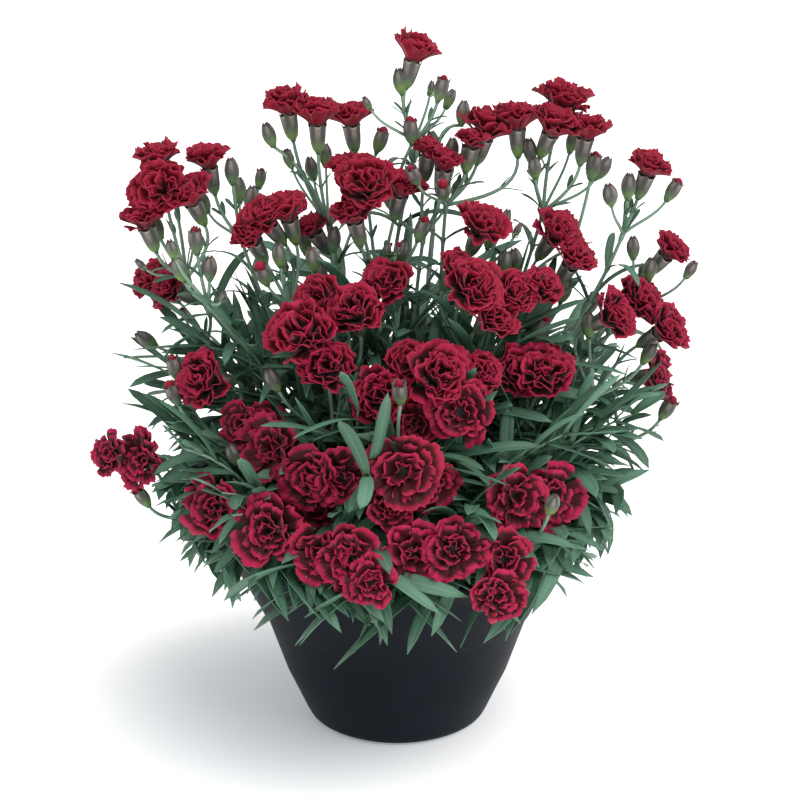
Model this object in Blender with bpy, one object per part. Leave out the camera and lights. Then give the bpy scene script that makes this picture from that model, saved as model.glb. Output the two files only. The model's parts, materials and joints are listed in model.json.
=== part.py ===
"""A potted dianthus in full bloom: plants of double, dark red pinks that stand in the soil of one
black nursery pot. Metres, +Z up. The origin is the middle of the pot's flat underside."""

import math
import random

import bmesh
import bpy
from mathutils import Vector
from mathutils.bvhtree import BVHTree

MM = 0.001
GAP = 0.3 * MM  # between pieces that touch on the real plant
CLEAR = 0.5 * MM  # kept on all sides of a stem or leaf that passes another

# Pot: a thin, flared shell with a step in its wall and a rolled rim
POT_SIDES = 20
POT_WALL = 2.2 * MM
BASE_RADIUS = 72.5 * MM
STEP_HEIGHT = 91 * MM
STEP_RADIUS = 104 * MM
RIM_RADIUS = 135 * MM
RIM_HEIGHT = 157 * MM
LIP = 2.5 * MM  # how far the rolled rim stands out
DRAIN_HOLES = 5
DRAIN_RADIUS = 5 * MM
DRAIN_CIRCLE = 42 * MM

# Soil: fills the pot to a little under its rim and is slightly domed
SOIL_EDGE = 137 * MM
SOIL_TOP = 142 * MM
HOLE_SIDES = 4
HOLE_RADIUS = 6.4 * MM
HOLE_DEPTH = 22 * MM
CROWN_TOP = 6 * MM
CROWN_RADIUS = 5.2 * MM  # the woody foot that all stems of one plant grow from

# Flower
PETALS = 5  # in each of the two layers
PRESS = 2  # millimetres that neighbouring blooms are pressed into each other
CALYX_LENGTH = 19 * MM
CALYX_MOUTH = 5.6 * MM
CALYX_FOOT = 3.2 * MM
STALK_RADIUS = 1.1 * MM
STALK_ROOT = 1.3 * MM  # from the middle of the joint to the end of a stalk inside it
BUD_LENGTH = 19.5 * MM
BUD_RADIUS = 5.2 * MM

# Blooms look up above one height and outwards below the other; the front ones turn to the light
FACE_UP_HEIGHT = 430 * MM
FACE_OUT_HEIGHT = 260 * MM
FRONT_EDGE = 60 * MM

# Stem and leaves
STEM_SIDES = 4
STEM_RADIUS = 1.6 * MM
STEM_APART = 2.4 * MM  # from the middle of the crown to each of its stems
KNOT_RADIUS = 2.6 * MM  # the swollen joint where the branches part
LEAF_WIDTH = 7.6 * MM
LEAF_KEEL = 1.1 * MM  # depth of the leaf's middle under its edges
STEM_STEP = 66 * MM  # between the joints of a stem
JOINT_LENGTH = 2.6 * MM
RING_START = math.radians(35)  # where a stem's first corner lies, seen from above
CROWN_LEAF = 105 * MM
LOW_LEAF = 92 * MM  # the length of the lowest leaves on a stem
HIGH_LEAF = 42 * MM
HIGH_LEAVES = 430 * MM  # above this height leaves are shortest, and below LOW_LEAVES longest
LOW_LEAVES = 180 * MM

# How many seeded tries a piece has to find room
TRIES = 60
FORK_TRIES = 16

# Each plant: where it stands in the soil (x, y), then its flowering stems. A stem carries blooms
# (x, y, z of the bloom's middle, its radius) and buds (x, y, z), all in millimetres.
PLANTS = {
    "centre": ((10, 18), [
        ([(13, 20, 510, 17)], [(2, 18, 490), (32, 20, 484)]),
        ([(23, 10, 441, 11), (40, -8, 430, 13)], [(10, 10, 455)]),
    ]),
    "left_middle": ((-32, -12), [
        ([(-105, -20, 384, 14), (-94, -16, 397, 17), (-77, -12, 401, 16)], [(-84, -34, 374)]),
        ([(-63, 12, 383, 12)], [(-46, 0, 378), (-60, -32, 370)]),
    ]),
    "upper_left": ((-26, 20), [
        ([(-80, 20, 472, 16), (-53, 12, 464, 17), (-28, 20, 462, 14)], [(-93, 14, 452), (-12, 24, 446)]),
        ([(-38, 0, 430, 12), (-8, -30, 409, 21), (12, 4, 415, 16), (-36, -24, 391, 15)],
         [(18, -14, 388)]),
    ]),
    "left_high": ((-58, 6), [
        ([(-173, 4, 436, 16), (-167, -22, 406, 20), (-148, -8, 411, 17), (-190, -22, 381, 15)],
         [(-186, 2, 414)]),
        ([(-138, 14, 433, 15)], [(-120, 8, 426), (-106, 2, 407)]),
    ]),
    "left_back": ((-62, 36), [
        ([(-186, 54, 332, 17), (-168, 26, 334, 17)], []),
        ([], [(-143, -34, 384), (-155, -38, 364), (-133, -40, 366)]),
    ]),
    "upper_right": ((38, 26), [
        ([(66, 22, 454, 18), (90, 20, 462, 17), (50, -4, 447, 11)], [(48, 26, 466), (40, 14, 441)]),
        ([(61, -22, 391, 18)], []),
    ]),
    "right_high": ((62, 34), [
        ([(122, 34, 472, 19), (113, 8, 458, 18), (140, 16, 454, 15)], [(97, 18, 440)]),
        ([(116, 0, 382, 18), (131, -20, 362, 15)], [(144, 22, 427), (86, -10, 364)]),
    ]),
    "right_side": ((80, 8), [
        ([(183, 6, 429, 14)], [(168, 2, 416)]),
        ([(202, 12, 366, 14)], [(187, 8, 353)]),
    ]),
    "right_low": ((78, -20), [
        ([(156, -30, 328, 18), (181, -4, 332, 20), (199, -22, 312, 18)],
         [(140, -20, 318), (186, -16, 296)]),
        ([(197, 4, 271, 16)], [(202, -10, 250)]),
    ]),
    "middle": ((30, -20), [
        ([(53, -60, 356, 22), (38, -32, 370, 13), (70, -62, 334, 17), (87, -44, 353, 15),
          (110, -32, 350, 15)], [(78, -20, 364)]),
        ([(-7, -30, 352, 17)], []),
    ]),
    "middle_left": ((-30, -46), [
        ([(-54, -50, 344, 17), (-28, -60, 338, 21), (-69, -82, 320, 25), (-38, -86, 292, 18)],
         [(-88, -70, 292)]),
    ]),
    "left_low": ((-66, -26), [
        ([(-138, -42, 283, 22)], [(-163, -40, 272), (-162, -30, 288)]),
        ([(-114, -62, 256, 14), (-87, -64, 254, 15), (-89, -112, 238, 23)], [(-118, -70, 236)]),
    ]),
    "left_edge": ((-86, -44), [
        ([(-217, -22, 219, 15), (-188, -32, 217, 20)], [(-190, -36, 190)]),
        ([(-133, -92, 204, 21)], []),
    ]),
    "front_left": ((-52, -72), [
        ([(-90, -132, 202, 23)], []),
        ([(-53, -150, 192, 19), (-31, -158, 192, 20), (-16, -168, 178, 16)], []),
    ]),
    "front_middle": ((-12, -66), [
        ([(-62, -112, 232, 21), (-36, -118, 234, 19), (-57, -104, 206, 16)], []),
        ([(4, -140, 248, 23), (31, -122, 232, 17), (-4, -140, 222, 16)], []),
    ]),
    "front_right": ((36, -74), [
        ([(13, -152, 193, 21), (41, -156, 198, 19)], []),
        ([(74, -152, 188, 19), (69, -166, 166, 17)], []),
    ]),
    "right_front": ((68, -58), [
        ([(84, -122, 222, 21), (126, -92, 213, 22)], [(106, -142, 226)]),
        ([(85, -50, 290, 18), (114, -60, 294, 22)], []),
    ]),
    "middle_front": ((10, -40), [
        ([(9, -70, 303, 16), (33, -90, 298, 23), (64, -72, 298, 15), (-14, -84, 280, 21),
          (46, -104, 277, 21), (14, -96, 266, 15)], [(2, -118, 298)]),
    ]),
    "back": ((4, 66), [
        ([(-92, 120, 262, 18), (-58, 138, 250, 20)], []),
        ([(20, 140, 262, 20), (52, 132, 250, 18)], []),
        ([(112, 104, 262, 18)], [(92, 118, 262)]),
    ]),
}


def clear_scene():
    for item in list(bpy.data.objects):
        bpy.data.objects.remove(item)


def material(name, colour, roughness):
    made = bpy.data.materials.new(name)
    made.use_nodes = True
    shader = made.node_tree.nodes["Principled BSDF"]
    shader.inputs["Base Color"].default_value = (*colour, 1)
    shader.inputs["Roughness"].default_value = roughness
    shader.inputs["Metallic"].default_value = 0
    return made


def mesh_object(name, piece):
    """The vertices and faces as an object, with its faces turned outwards."""
    mesh = bpy.data.meshes.new(name)
    mesh.from_pydata(piece[0], [], piece[1])
    turned = bmesh.new()
    turned.from_mesh(mesh)
    bmesh.ops.recalc_face_normals(turned, faces=turned.faces)
    bmesh.ops.triangulate(turned, faces=turned.faces)
    turned.to_mesh(mesh)
    turned.free()
    return bpy.data.objects.new(name, mesh)


def combine(base, others, operation):
    """One Boolean on a collection, applied. All pieces are closed, as the manifold solver needs."""
    group = bpy.data.collections.new(base.name + "_operands")
    bpy.context.scene.collection.children.link(group)
    for item in others:
        group.objects.link(item)
    cut = base.modifiers.new("combine", "BOOLEAN")
    cut.operation = operation
    cut.operand_type = "COLLECTION"
    cut.collection = group
    cut.solver = "MANIFOLD"
    graph = bpy.context.evaluated_depsgraph_get()
    mesh = bpy.data.meshes.new_from_object(base.evaluated_get(graph))
    base.modifiers.clear()
    base.data = mesh
    for item in others:
        bpy.data.objects.remove(item)
    bpy.data.collections.remove(group)


def node(name, pieces, finish):
    """All pieces of one node, fused and given their material."""
    base = mesh_object(name, pieces[0])
    bpy.context.scene.collection.objects.link(base)
    if len(pieces) > 1:
        combine(base, [mesh_object(f"{name}_{i}", piece) for i, piece in enumerate(pieces[1:])], "UNION")
    base.data.materials.clear()
    base.data.materials.append(finish)
    return base


# Rings and tubes

def circle(centre, across, along, radius, sides, turn=0.0):
    """Points round a centre, in the plane of two unit vectors."""
    angles = [math.tau * (i + turn) / sides for i in range(sides)]
    return [centre + (across * math.cos(a) + along * math.sin(a)) * radius for a in angles]


def joined_rings(rings):
    """A closed surface through rings of equal size, with a flat face at each end."""
    sides = len(rings[0])
    points = [point for ring in rings for point in ring]
    faces = [tuple(range(sides)), tuple(range(len(points) - sides, len(points)))]
    for r in range(len(rings) - 1):
        for i in range(sides):
            a = r * sides + i
            b = r * sides + (i + 1) % sides
            faces.append((a, b, b + sides, a + sides))
    return points, faces


def frames(path):
    """Two unit vectors across the path at each of its points, carried on without twisting."""
    across = Vector((math.cos(RING_START), math.sin(RING_START), 0.05))
    found = []
    for i in range(len(path)):
        tangent = (path[min(i + 1, len(path) - 1)] - path[max(i - 1, 0)]).normalized()
        across = (across - tangent * across.dot(tangent)).normalized()
        found.append((across, tangent.cross(across)))
    return found


def tube(path, radii, sides):
    """A tube along a path."""
    rings = [circle(point, *pair, radius, sides) for point, pair, radius in zip(path, frames(path), radii)]
    return joined_rings(rings)


def mean(points):
    return sum(points, Vector((0, 0, 0))) / len(points)


def bezier(a, b, c, d, t):
    s = 1 - t
    return a * s**3 + b * 3 * s * s * t + c * 3 * s * t * t + d * t**3


def turned(profile, sides):
    """A closed profile of (radius, height) turned round Z. Its first and last points are on the axis."""
    foot, *rim, top = profile
    points = [Vector((0, 0, foot[1]))]
    for radius, height in rim:
        points += circle(Vector((0, 0, height)), Vector((1, 0, 0)), Vector((0, 1, 0)), radius, sides, 0.5)
    points.append(Vector((0, 0, top[1])))
    faces = []
    for i in range(sides):
        j = (i + 1) % sides
        faces.append((0, 1 + j, 1 + i))
        for r in range(len(rim) - 1):
            start = 1 + r * sides
            faces.append((start + i, start + j, start + sides + j, start + sides + i))
        last = 1 + (len(rim) - 1) * sides
        faces.append((last + i, last + j, len(points) - 1))
    return points, faces


# Room: what is already in place, so that stems and leaves are bent clear of it

placed = []


def box_of(points):
    return [min(p[i] for p in points) for i in range(3)], [max(p[i] for p in points) for i in range(3)]


def place(owner, piece):
    low, high = box_of(piece[0])
    placed.append((owner, low, high, BVHTree.FromPolygons(piece[0], piece[1])))


def shape_of(item):
    """The vertices and faces of an object."""
    return [v.co.copy() for v in item.data.vertices], [tuple(f.vertices) for f in item.data.polygons]


def is_clear(piece, passes):
    """Whether a piece crosses nothing in place, but for the plants and pieces that it may pass through."""
    low, high = box_of(piece[0])
    tree = None
    for owner, other_low, other_high, other in placed:
        if owner in passes or owner[0] in passes:
            continue
        if any(low[i] > other_high[i] or high[i] < other_low[i] for i in range(3)):
            continue
        tree = tree or BVHTree.FromPolygons(piece[0], piece[1])
        if tree.overlap(other):
            return False
    return True


# Pot and soil

def pot_wall():
    """The pot's outer wall from its base to its rim, as (radius, height)."""
    collar = STEP_RADIUS + 3 * MM
    return [
        (BASE_RADIUS - 8 * MM, 0),
        (BASE_RADIUS, 6 * MM),
        (87.5 * MM, 41 * MM),
        (STEP_RADIUS, STEP_HEIGHT),
        (collar, STEP_HEIGHT + 3 * MM),
        (130 * MM, 138 * MM),
        (RIM_RADIUS, 150 * MM),
    ]


def build_pot(finish):
    wall = pot_wall()
    rim = [
        (RIM_RADIUS + LIP, 151 * MM),
        (RIM_RADIUS + LIP, RIM_HEIGHT),
        (RIM_RADIUS - POT_WALL, RIM_HEIGHT + 0.5 * MM),
    ]
    inside = [
        (radius - POT_WALL, height + (POT_WALL if height < 10 * MM else 0)) for radius, height in wall
    ]
    profile = [(0, 0), *wall, *rim, *reversed(inside), (0, POT_WALL)]
    pot = node("pot", [turned(profile, POT_SIDES)], finish)
    drills = []
    for i in range(DRAIN_HOLES):
        angle = math.tau * i / DRAIN_HOLES
        foot = Vector((math.cos(angle), math.sin(angle), 0)) * DRAIN_CIRCLE
        path = [foot - Vector((0, 0, POT_WALL)), foot + Vector((0, 0, 3 * POT_WALL))]
        drills.append(mesh_object(f"drill_{i}", tube(path, [DRAIN_RADIUS] * 2, 6)))
    combine(pot, drills, "DIFFERENCE")
    place(("pot", ""), shape_of(pot))


def soil_height(x, y):
    """The height of the domed soil at a place."""
    edge = RIM_RADIUS - 12 * MM
    return SOIL_TOP - (SOIL_TOP - SOIL_EDGE) * (math.hypot(x, y) / edge) ** 2


def crown_foot(plant):
    x, y = PLANTS[plant][0]
    return Vector((x * MM, y * MM, soil_height(x * MM, y * MM)))


def build_soil(finish):
    room = GAP / math.cos(math.pi / POT_SIDES)
    wall = [(radius - POT_WALL - room, height) for radius, height in pot_wall()[1:4]]
    profile = [
        (0, POT_WALL + GAP),
        (BASE_RADIUS - 8 * MM - POT_WALL - room, POT_WALL + GAP),
        (wall[0][0], wall[0][1] + POT_WALL + GAP),
        *wall[1:],
        (125 * MM, SOIL_EDGE - 3 * MM),
        (112 * MM, soil_height(112 * MM, 0)),
        (60 * MM, soil_height(60 * MM, 0)),
        (0, SOIL_TOP),
    ]
    soil = node("soil", [turned(profile, POT_SIDES)], finish)
    drills = []
    for plant in PLANTS:
        top = crown_foot(plant)
        path = [top - Vector((0, 0, HOLE_DEPTH + GAP)), top + Vector((0, 0, 10 * MM))]
        drills.append(mesh_object("hole_" + plant, tube(path, [HOLE_RADIUS] * 2, HOLE_SIDES)))
    combine(soil, drills, "DIFFERENCE")
    place(("soil", ""), shape_of(soil))


# Blooms

def facing(middle, stray, draw):
    """Which way a bloom looks: up at the top of the plant, outwards and to the light lower down."""
    height = max(0, min(1, (FACE_UP_HEIGHT - middle.z) / (FACE_UP_HEIGHT - FACE_OUT_HEIGHT)))
    lean = math.radians(15 + 58 * height + draw.uniform(-stray, stray))
    outward = Vector((middle.x, middle.y, 0)).normalized()
    if middle.y < FRONT_EDGE:
        outward = (outward + Vector((0, -0.8, 0))).normalized()
    azimuth = math.atan2(outward.y, outward.x) + math.radians(draw.uniform(-stray, stray))
    return Vector((math.cos(azimuth) * math.sin(lean), math.sin(azimuth) * math.sin(lean), math.cos(lean)))


def bloom(mouth, axis, radius, draw):
    """Two layers of petals with notched rims on a cone that opens from the calyx."""
    across = axis.orthogonal().normalized()
    along = axis.cross(across)
    spin = draw.uniform(0, math.tau)

    def ring(tip, notch, rise, dip, turn):
        count = PETALS * (1 if notch is None else 2)
        found = []
        for i in range(count):
            angle = spin + math.tau * (i + turn) / count
            is_tip = notch is None or i % 2 == 0
            size = (tip if is_tip else notch) * draw.uniform(0.93, 1.05)
            height = (rise if is_tip else dip) * draw.uniform(0.9, 1.1)
            spoke = across * math.cos(angle) + along * math.sin(angle)
            found.append(mouth + spoke * size + axis * height)
        return found

    cone = [p - axis * (p - mouth).dot(axis) for p in ring(CALYX_MOUTH * 0.95, None, 0, 0, 0)]
    outer = ring(radius * 1.1, radius * 0.9, radius * 0.5, radius * 0.38, 0)
    valley = ring(radius * 0.5, None, radius * 0.5, 0, 0)
    inner = ring(radius * 0.78, radius * 0.58, radius * 0.85, radius * 0.76, 1)
    heart = mouth + axis * radius * 0.66
    points = [*cone, *outer, *valley, *inner, heart]
    first, low, root, high, last = 0, PETALS, PETALS * 3, PETALS * 4, PETALS * 6
    faces = [tuple(reversed(range(PETALS)))]
    for i in range(PETALS):
        j = (i + 1) % PETALS
        before, tip, after = [low + (2 * i + k) % (2 * PETALS) for k in (-1, 0, 1)]
        faces += [(first + i, tip, before), (first + i, after, tip), (first + i, first + j, after)]
        faces += [(root + i, before, tip), (root + i, tip, after), (root + i, after, root + j)]
        tip, notch, next_tip = [high + (2 * i + k) % (2 * PETALS) for k in (0, 1, 2)]
        faces += [(root + i, root + j, tip), (root + j, notch, tip), (root + j, next_tip, notch)]
        faces += [(tip, notch, last), (notch, next_tip, last)]
    return points, faces


def make_bloom(seed, middle, radius, attempt):
    """One bloom as a dictionary, drawn by its own seed. It strays further at each attempt."""
    draw = random.Random(f"{seed} {attempt}")
    axis = facing(middle, 8 + attempt * 0.8, draw)
    mouth = middle - axis * radius * 0.45
    mesh = bloom(mouth, axis, radius, draw)
    top = mouth - axis * (GAP + CLEAR)
    room = tube([top - axis * (CALYX_LENGTH + 2 * MM), top], [CALYX_MOUTH + CLEAR] * 2, 6)
    return {
        "middle": middle, "mouth": mouth, "axis": axis, "mesh": mesh,
        "tree": BVHTree.FromPolygons(*mesh), "calyx": BVHTree.FromPolygons(*room),
    }


def drawn_in(seed, middle, radius, attempt, others):
    """A bloom moved towards the nearest one of its stem until their petals press together."""
    item = make_bloom(seed, middle, radius, attempt)
    if not others:
        return item
    near = min((other["middle"] for other in others), key=lambda m: (m - middle).length)
    step = (near - middle).normalized() * MM
    while not any(item["tree"].overlap(other["tree"]) for other in others):
        middle = middle + step
        item = make_bloom(seed, middle, radius, attempt)
    return make_bloom(seed, middle + step * PRESS, radius, attempt)


def has_calyx_room(item, found):
    """Whether no petals lie where this bloom's calyx goes, nor its petals where another's is."""
    return not any(item["calyx"].overlap(o["tree"]) or item["tree"].overlap(o["calyx"]) for o in found)


def all_blooms():
    """Every bloom, by (plant, stem number)."""
    found = []
    by_stem = {}
    for plant, (_, stems) in PLANTS.items():
        for s, (blooms, _) in enumerate(stems):
            others = by_stem[plant, s] = []
            for b, (x, y, z, radius) in enumerate(blooms):
                seed = f"{plant} {s} bloom {b}"
                middle = Vector((x, y, z)) * MM
                tries = (drawn_in(seed, middle, radius * MM, attempt, others) for attempt in range(TRIES))
                item = next((t for t in tries if has_calyx_room(t, found)), None)
                if item is None:
                    raise RuntimeError("no room for " + seed)
                item["plant"] = plant
                others.append(item)
                found.append(item)
    return found, by_stem


def grouped(blooms):
    """Blooms that press into each other, as lists: each list becomes one node."""
    groups = [{i} for i in range(len(blooms))]
    for i, item in enumerate(blooms):
        for j in range(i):
            if item["tree"].overlap(blooms[j]["tree"]):
                joined = next(g for g in groups if i in g) | next(g for g in groups if j in g)
                groups = [g for g in groups if not g & joined] + [joined]
    return [[blooms[i] for i in sorted(group)] for group in sorted(groups, key=min)]


def build_blooms(blooms, finish):
    counts = {}
    for group in grouped(blooms):
        plant = group[0]["plant"]
        counts[plant] = counts.get(plant, 0) + 1
        node(f"blooms_{plant}_{counts[plant]}", [item["mesh"] for item in group], finish)
    for item in blooms:
        place(("blooms", ""), item["mesh"])


# Stems, with their calyxes and buds

def stem_fork(tips, foot, draw, stray):
    """Where a stem's branches part: below the middle of its calyxes and buds, towards its foot."""
    middle = mean(tips)
    spread = max((tip - middle).length for tip in tips)
    down = ((foot - middle).normalized() * 0.6 + Vector((0, 0, -0.4))).normalized()
    fork = middle + down * min(24 * MM + spread * 0.9, (foot - middle).length * 0.55)
    return fork + Vector([draw.uniform(-stray, stray) for _ in range(3)])


def stem_path(foot, fork, heading, draw, bend):
    """A curve that leaves the soil upright and arrives at the fork along its heading."""
    reach = (fork - foot).length
    stray = [Vector([draw.uniform(-bend, bend) for _ in range(3)]) * reach for _ in range(2)]
    start = foot - Vector((0, 0, 5 * MM))
    rise = foot + Vector((0, 0, reach * 0.4)) + stray[0]
    arrive = fork - heading * reach * 0.3 + stray[1]
    steps = max(3, round(reach / STEM_STEP))
    return [bezier(start, rise, arrive, fork, i / steps) for i in range(steps + 1)]


def stalk(top, axis, fork, draw, bend):
    """A point in the joint, on the side of this stalk, and one on the way to the foot of its end."""
    reach = (top - fork).length
    root = fork.lerp(top, STALK_ROOT / reach)
    lead = top - axis * reach * 0.4 + Vector([draw.uniform(-bend, bend) for _ in range(3)]) * reach
    return [root, bezier(root, root.lerp(lead, 0.5), lead, top, 0.6)]


def calyx(mouth, axis, fork, draw, bend, extra):
    """A calyx under a bloom, with its stalk down to the fork."""
    top = mouth - axis * GAP
    foot = top - axis * CALYX_LENGTH
    path = [*stalk(foot, axis, fork, draw, bend), foot, top]
    radii = [STALK_RADIUS, STALK_RADIUS, CALYX_FOOT, CALYX_MOUTH]
    return tube(path, [radius + extra for radius in radii], 4)


def bud(middle, axis, fork, draw, bend, extra):
    """A closed bud with its stalk down to the fork."""
    foot = middle - axis * BUD_LENGTH / 2
    path = [*stalk(foot, axis, fork, draw, bend), foot + axis * BUD_LENGTH * 0.4, foot + axis * BUD_LENGTH]
    radii = [STALK_RADIUS, STALK_RADIUS, BUD_RADIUS, BUD_RADIUS * 0.4]
    return tube(path, [radius + extra for radius in radii], 4)


def first_clear(make, passes):
    """The first of the seeded tries that crosses nothing, or nothing. Each is tried a little too thick."""
    for attempt in range(TRIES):
        if is_clear(make(attempt, CLEAR), passes):
            return make(attempt, 0)
    return None


def grow_stem(plant, stem, blooms, buds, foot, shift):
    """The pieces of one stem and its path, or nothing if one of them finds no room."""
    draw = random.Random(f"{plant} {stem} fork {shift}")
    tips = [item["mouth"] - item["axis"] * CALYX_LENGTH for item in blooms] + buds
    fork = stem_fork(tips, foot, draw, shift * 2 * MM)
    heading = sum((item["axis"] for item in blooms), (fork - foot).normalized() * 1.5).normalized()

    def path_of(attempt):
        stray = random.Random(f"{plant} {stem} stem {attempt}")
        return stem_path(foot, fork, heading, stray, 0.02 + 0.006 * attempt)

    def main_stem(attempt, extra):
        """The stem, with two close rings at each joint and a knot at its end."""
        path = path_of(attempt)
        rings = [(path[0], STEM_RADIUS)]
        for below, point, above in zip(path, path[1:], path[2:]):
            half = (above - below).normalized() * JOINT_LENGTH / 2
            rings += [(point - half, STEM_RADIUS), (point + half, STEM_RADIUS)]
        knot = heading * KNOT_RADIUS
        rings += [(fork - knot, KNOT_RADIUS), (fork + knot, KNOT_RADIUS * 0.8)]
        return tube([point for point, _ in rings], [radius + extra for _, radius in rings], STEM_SIDES)

    attempt = next((a for a in range(TRIES) if is_clear(main_stem(a, CLEAR), (plant,))), None)
    if attempt is None:
        return None
    pieces = [main_stem(attempt, 0)]
    place((plant, stem), pieces[0])
    ends = [(calyx, item["mouth"], item["axis"]) for item in blooms]
    upright = Vector((0, 0, 0.7))
    ends += [(bud, middle, ((middle - fork).normalized() + upright).normalized()) for middle in buds]
    for e, (shape, at, axis) in enumerate(ends):

        def end(tried, extra, shape=shape, at=at, axis=axis, e=e):
            draw = random.Random(f"{plant} {stem} end {e} {tried}")
            return shape(at - axis * extra, axis, fork, draw, 0.012 * tried, extra)

        piece = first_clear(end, (plant,))
        if piece is None:
            return None
        pieces.append(piece)
        place((plant, f"{stem} end {e}"), piece)
    return pieces, path_of(attempt)


def grow_stems(by_stem):
    """The pieces of each plant's crown and stems, and the path of each stem for its leaves."""
    pieces = {}
    grown_stems = {}
    for plant in PLANTS:
        levels = [crown_foot(plant) + Vector((0, 0, z)) for z in (-HOLE_DEPTH, MM, CROWN_TOP)]
        pieces[plant] = [tube(levels, [CROWN_RADIUS] * 3, HOLE_SIDES)]
        place((plant, "crown"), pieces[plant][0])
    for plant, (_, stems) in PLANTS.items():
        targets = [mean([Vector(spot[:3]) for spot in blooms + buds]) for blooms, buds in stems]
        for s, (_, buds) in enumerate(stems):
            middles = [Vector(spot) * MM for spot in buds]
            apart = (targets[s] - mean(targets)) * Vector((1, 1, 0))
            foot = crown_foot(plant) + apart.normalized() * STEM_APART
            grown = None
            shift = 0
            while grown is None and shift < FORK_TRIES:
                mark = len(placed)
                grown = grow_stem(plant, s, by_stem[plant, s], middles, foot, shift)
                if grown is None:
                    del placed[mark:]
                shift += 1
            if grown is None:
                raise RuntimeError(f"no room for stem {s} of {plant}")
            pieces[plant] += grown[0]
            grown_stems[plant, s] = (grown[1], grown[0][0])
    return pieces, grown_stems


# Leaves

def leaf_path(start, azimuth, rise, fall, curl, length):
    """Points along a strap leaf that leaves its stem at one slope and ends at another."""
    keep = (0, 7, 15, 20)
    steps = keep[-1]
    point = start.copy()
    found = [start.copy()]
    for i in range(steps):
        t = (i + 0.5) / steps
        slope = rise + (fall - rise) * t
        heading = azimuth + curl * t
        flat = Vector((math.cos(heading), math.sin(heading), 0))
        point += (flat * math.cos(slope) + Vector((0, 0, math.sin(slope)))) * length / steps
        if i + 1 in keep:
            found.append(point.copy())
    return found


def leaf_sections(path, width, roll, extra):
    """Sections of a blade, each as its left edge, right edge and keel: flat above, with a keel below."""
    shares = (0.4, 1.0, 0.8)
    sections = []
    for i, share in enumerate(shares):
        tangent = (path[i + 1] - path[max(i - 1, 0)]).normalized()
        side = tangent.cross(Vector((0, 0, 1))).normalized()
        up = side.cross(tangent)
        turn = roll * i / len(shares)
        edge = side * math.cos(turn) + up * math.sin(turn)
        over = up * math.cos(turn) - side * math.sin(turn)
        half = edge * (width * share / 2 + extra)
        top = path[i] + over * extra
        sections.append([top - half, top + half, path[i] - over * (LEAF_KEEL + extra)])
    return sections


def free_leaf(path, width, roll, root):
    """The blade by itself, a little too thick, to see what it would cross. Its root may be given."""
    sections = leaf_sections(path, width, roll, CLEAR)
    sections[0] = root or sections[0]
    points, faces = joined_rings(sections)
    low = len(points) - 3
    faces += [(low, low + 1, len(points)), (low + 1, low + 2, len(points)), (low + 2, low, len(points))]
    return [*points, path[-1]], faces


def raise_leaf(tube_piece, face, path, width, roll):
    """Draws a blade out of one four-sided face of a stem or crown, in that face's place."""
    points, faces = tube_piece
    a, b, upper_b, upper_a = faces[face]
    left, right, keel = range(len(points), len(points) + 3)
    for section in leaf_sections(path, width, roll, 0)[1:]:
        points += section
    points.append(path[-1])
    faces[face] = (upper_a, upper_b, left, right)
    faces += [(a, b, keel), (a, upper_a, right), (a, right, keel), (b, left, upper_b), (b, keel, left)]
    for i in range(3):
        j = (i + 1) % 3
        faces += [(left + i, left + j, left + j + 3, left + i + 3), (left + i + 3, left + j + 3, left + 6)]


def add_leaf(owner, piece, face, azimuth, rise, length, width, seed):
    """A leaf from one face of a stem or crown, tried at seeded turns until it crosses nothing. It is
    left out where no turn has room."""
    corners = [piece[0][corner] for corner in piece[1][face]]
    start = mean(corners)
    wider = [start + (corner - start) * 1.4 for corner in corners]
    root = [wider[2], wider[3], (wider[0] + wider[1]) / 2]
    for attempt in range(TRIES):
        draw = random.Random(f"{seed} {attempt}")
        stray = 0.15 + 0.02 * attempt
        heading = azimuth + draw.uniform(-stray, stray)
        size = length * draw.uniform(0.8, 1.15) * (1 - 0.4 * attempt / TRIES)
        first, last = rise + draw.uniform(-stray, stray), rise - draw.uniform(0.7, 2.0)
        path = leaf_path(start, heading, first, last, draw.uniform(-0.4, 0.4), size)
        roll = draw.uniform(-0.7, 0.7)
        whole = free_leaf(path, width, roll, root)
        beyond_root = free_leaf([start.lerp(path[1], 0.25), *path[1:]], width, roll, None)
        if is_clear(whole, [owner]) and is_clear(beyond_root, []):
            raise_leaf(piece, face, path, width, roll)
            place((owner[0], "leaf"), whole)
            return


def grow_leaves(crowns, stems):
    """Pairs of leaves at the joints of every stem, then a rosette round every crown."""
    for (plant, s), (path, piece) in stems.items():
        for n, (across, along) in enumerate(frames(path)[1:-1], 1):
            share = max(0, min(1, (HIGH_LEAVES - path[n].z) / (HIGH_LEAVES - LOW_LEAVES)))
            length = HIGH_LEAF + (LOW_LEAF - HIGH_LEAF) * share
            width = LEAF_WIDTH * (0.6 + 0.4 * share)
            for side in range(2):
                corner = (n + 2 * side) % STEM_SIDES
                turn = math.tau * (corner + 0.5) / STEM_SIDES
                outward = across * math.cos(turn) + along * math.sin(turn)
                azimuth = math.atan2(outward.y, outward.x)
                face = 2 + (2 * n - 1) * STEM_SIDES + corner
                seed = f"{plant} {s} leaf {n} {side}"
                add_leaf((plant, s), piece, face, azimuth, 0.9, length, width, seed)
    for plant, piece in crowns.items():
        for n in range(HOLE_SIDES):
            azimuth = RING_START + math.tau * (n + 0.5) / HOLE_SIDES
            face = 2 + HOLE_SIDES + n
            seed = f"{plant} crown leaf {n}"
            add_leaf((plant, "crown"), piece, face, azimuth, 1.1, CROWN_LEAF, LEAF_WIDTH, seed)


def build_materials():
    return {
        "pot": material("pot_plastic", (0.012, 0.013, 0.016), 0.45),
        "soil": material("soil", (0.035, 0.022, 0.015), 0.95),
        "bloom": material("petals", (0.28, 0.006, 0.02), 0.6),
        "green": material("leaves", (0.10, 0.19, 0.13), 0.5),
    }


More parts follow.
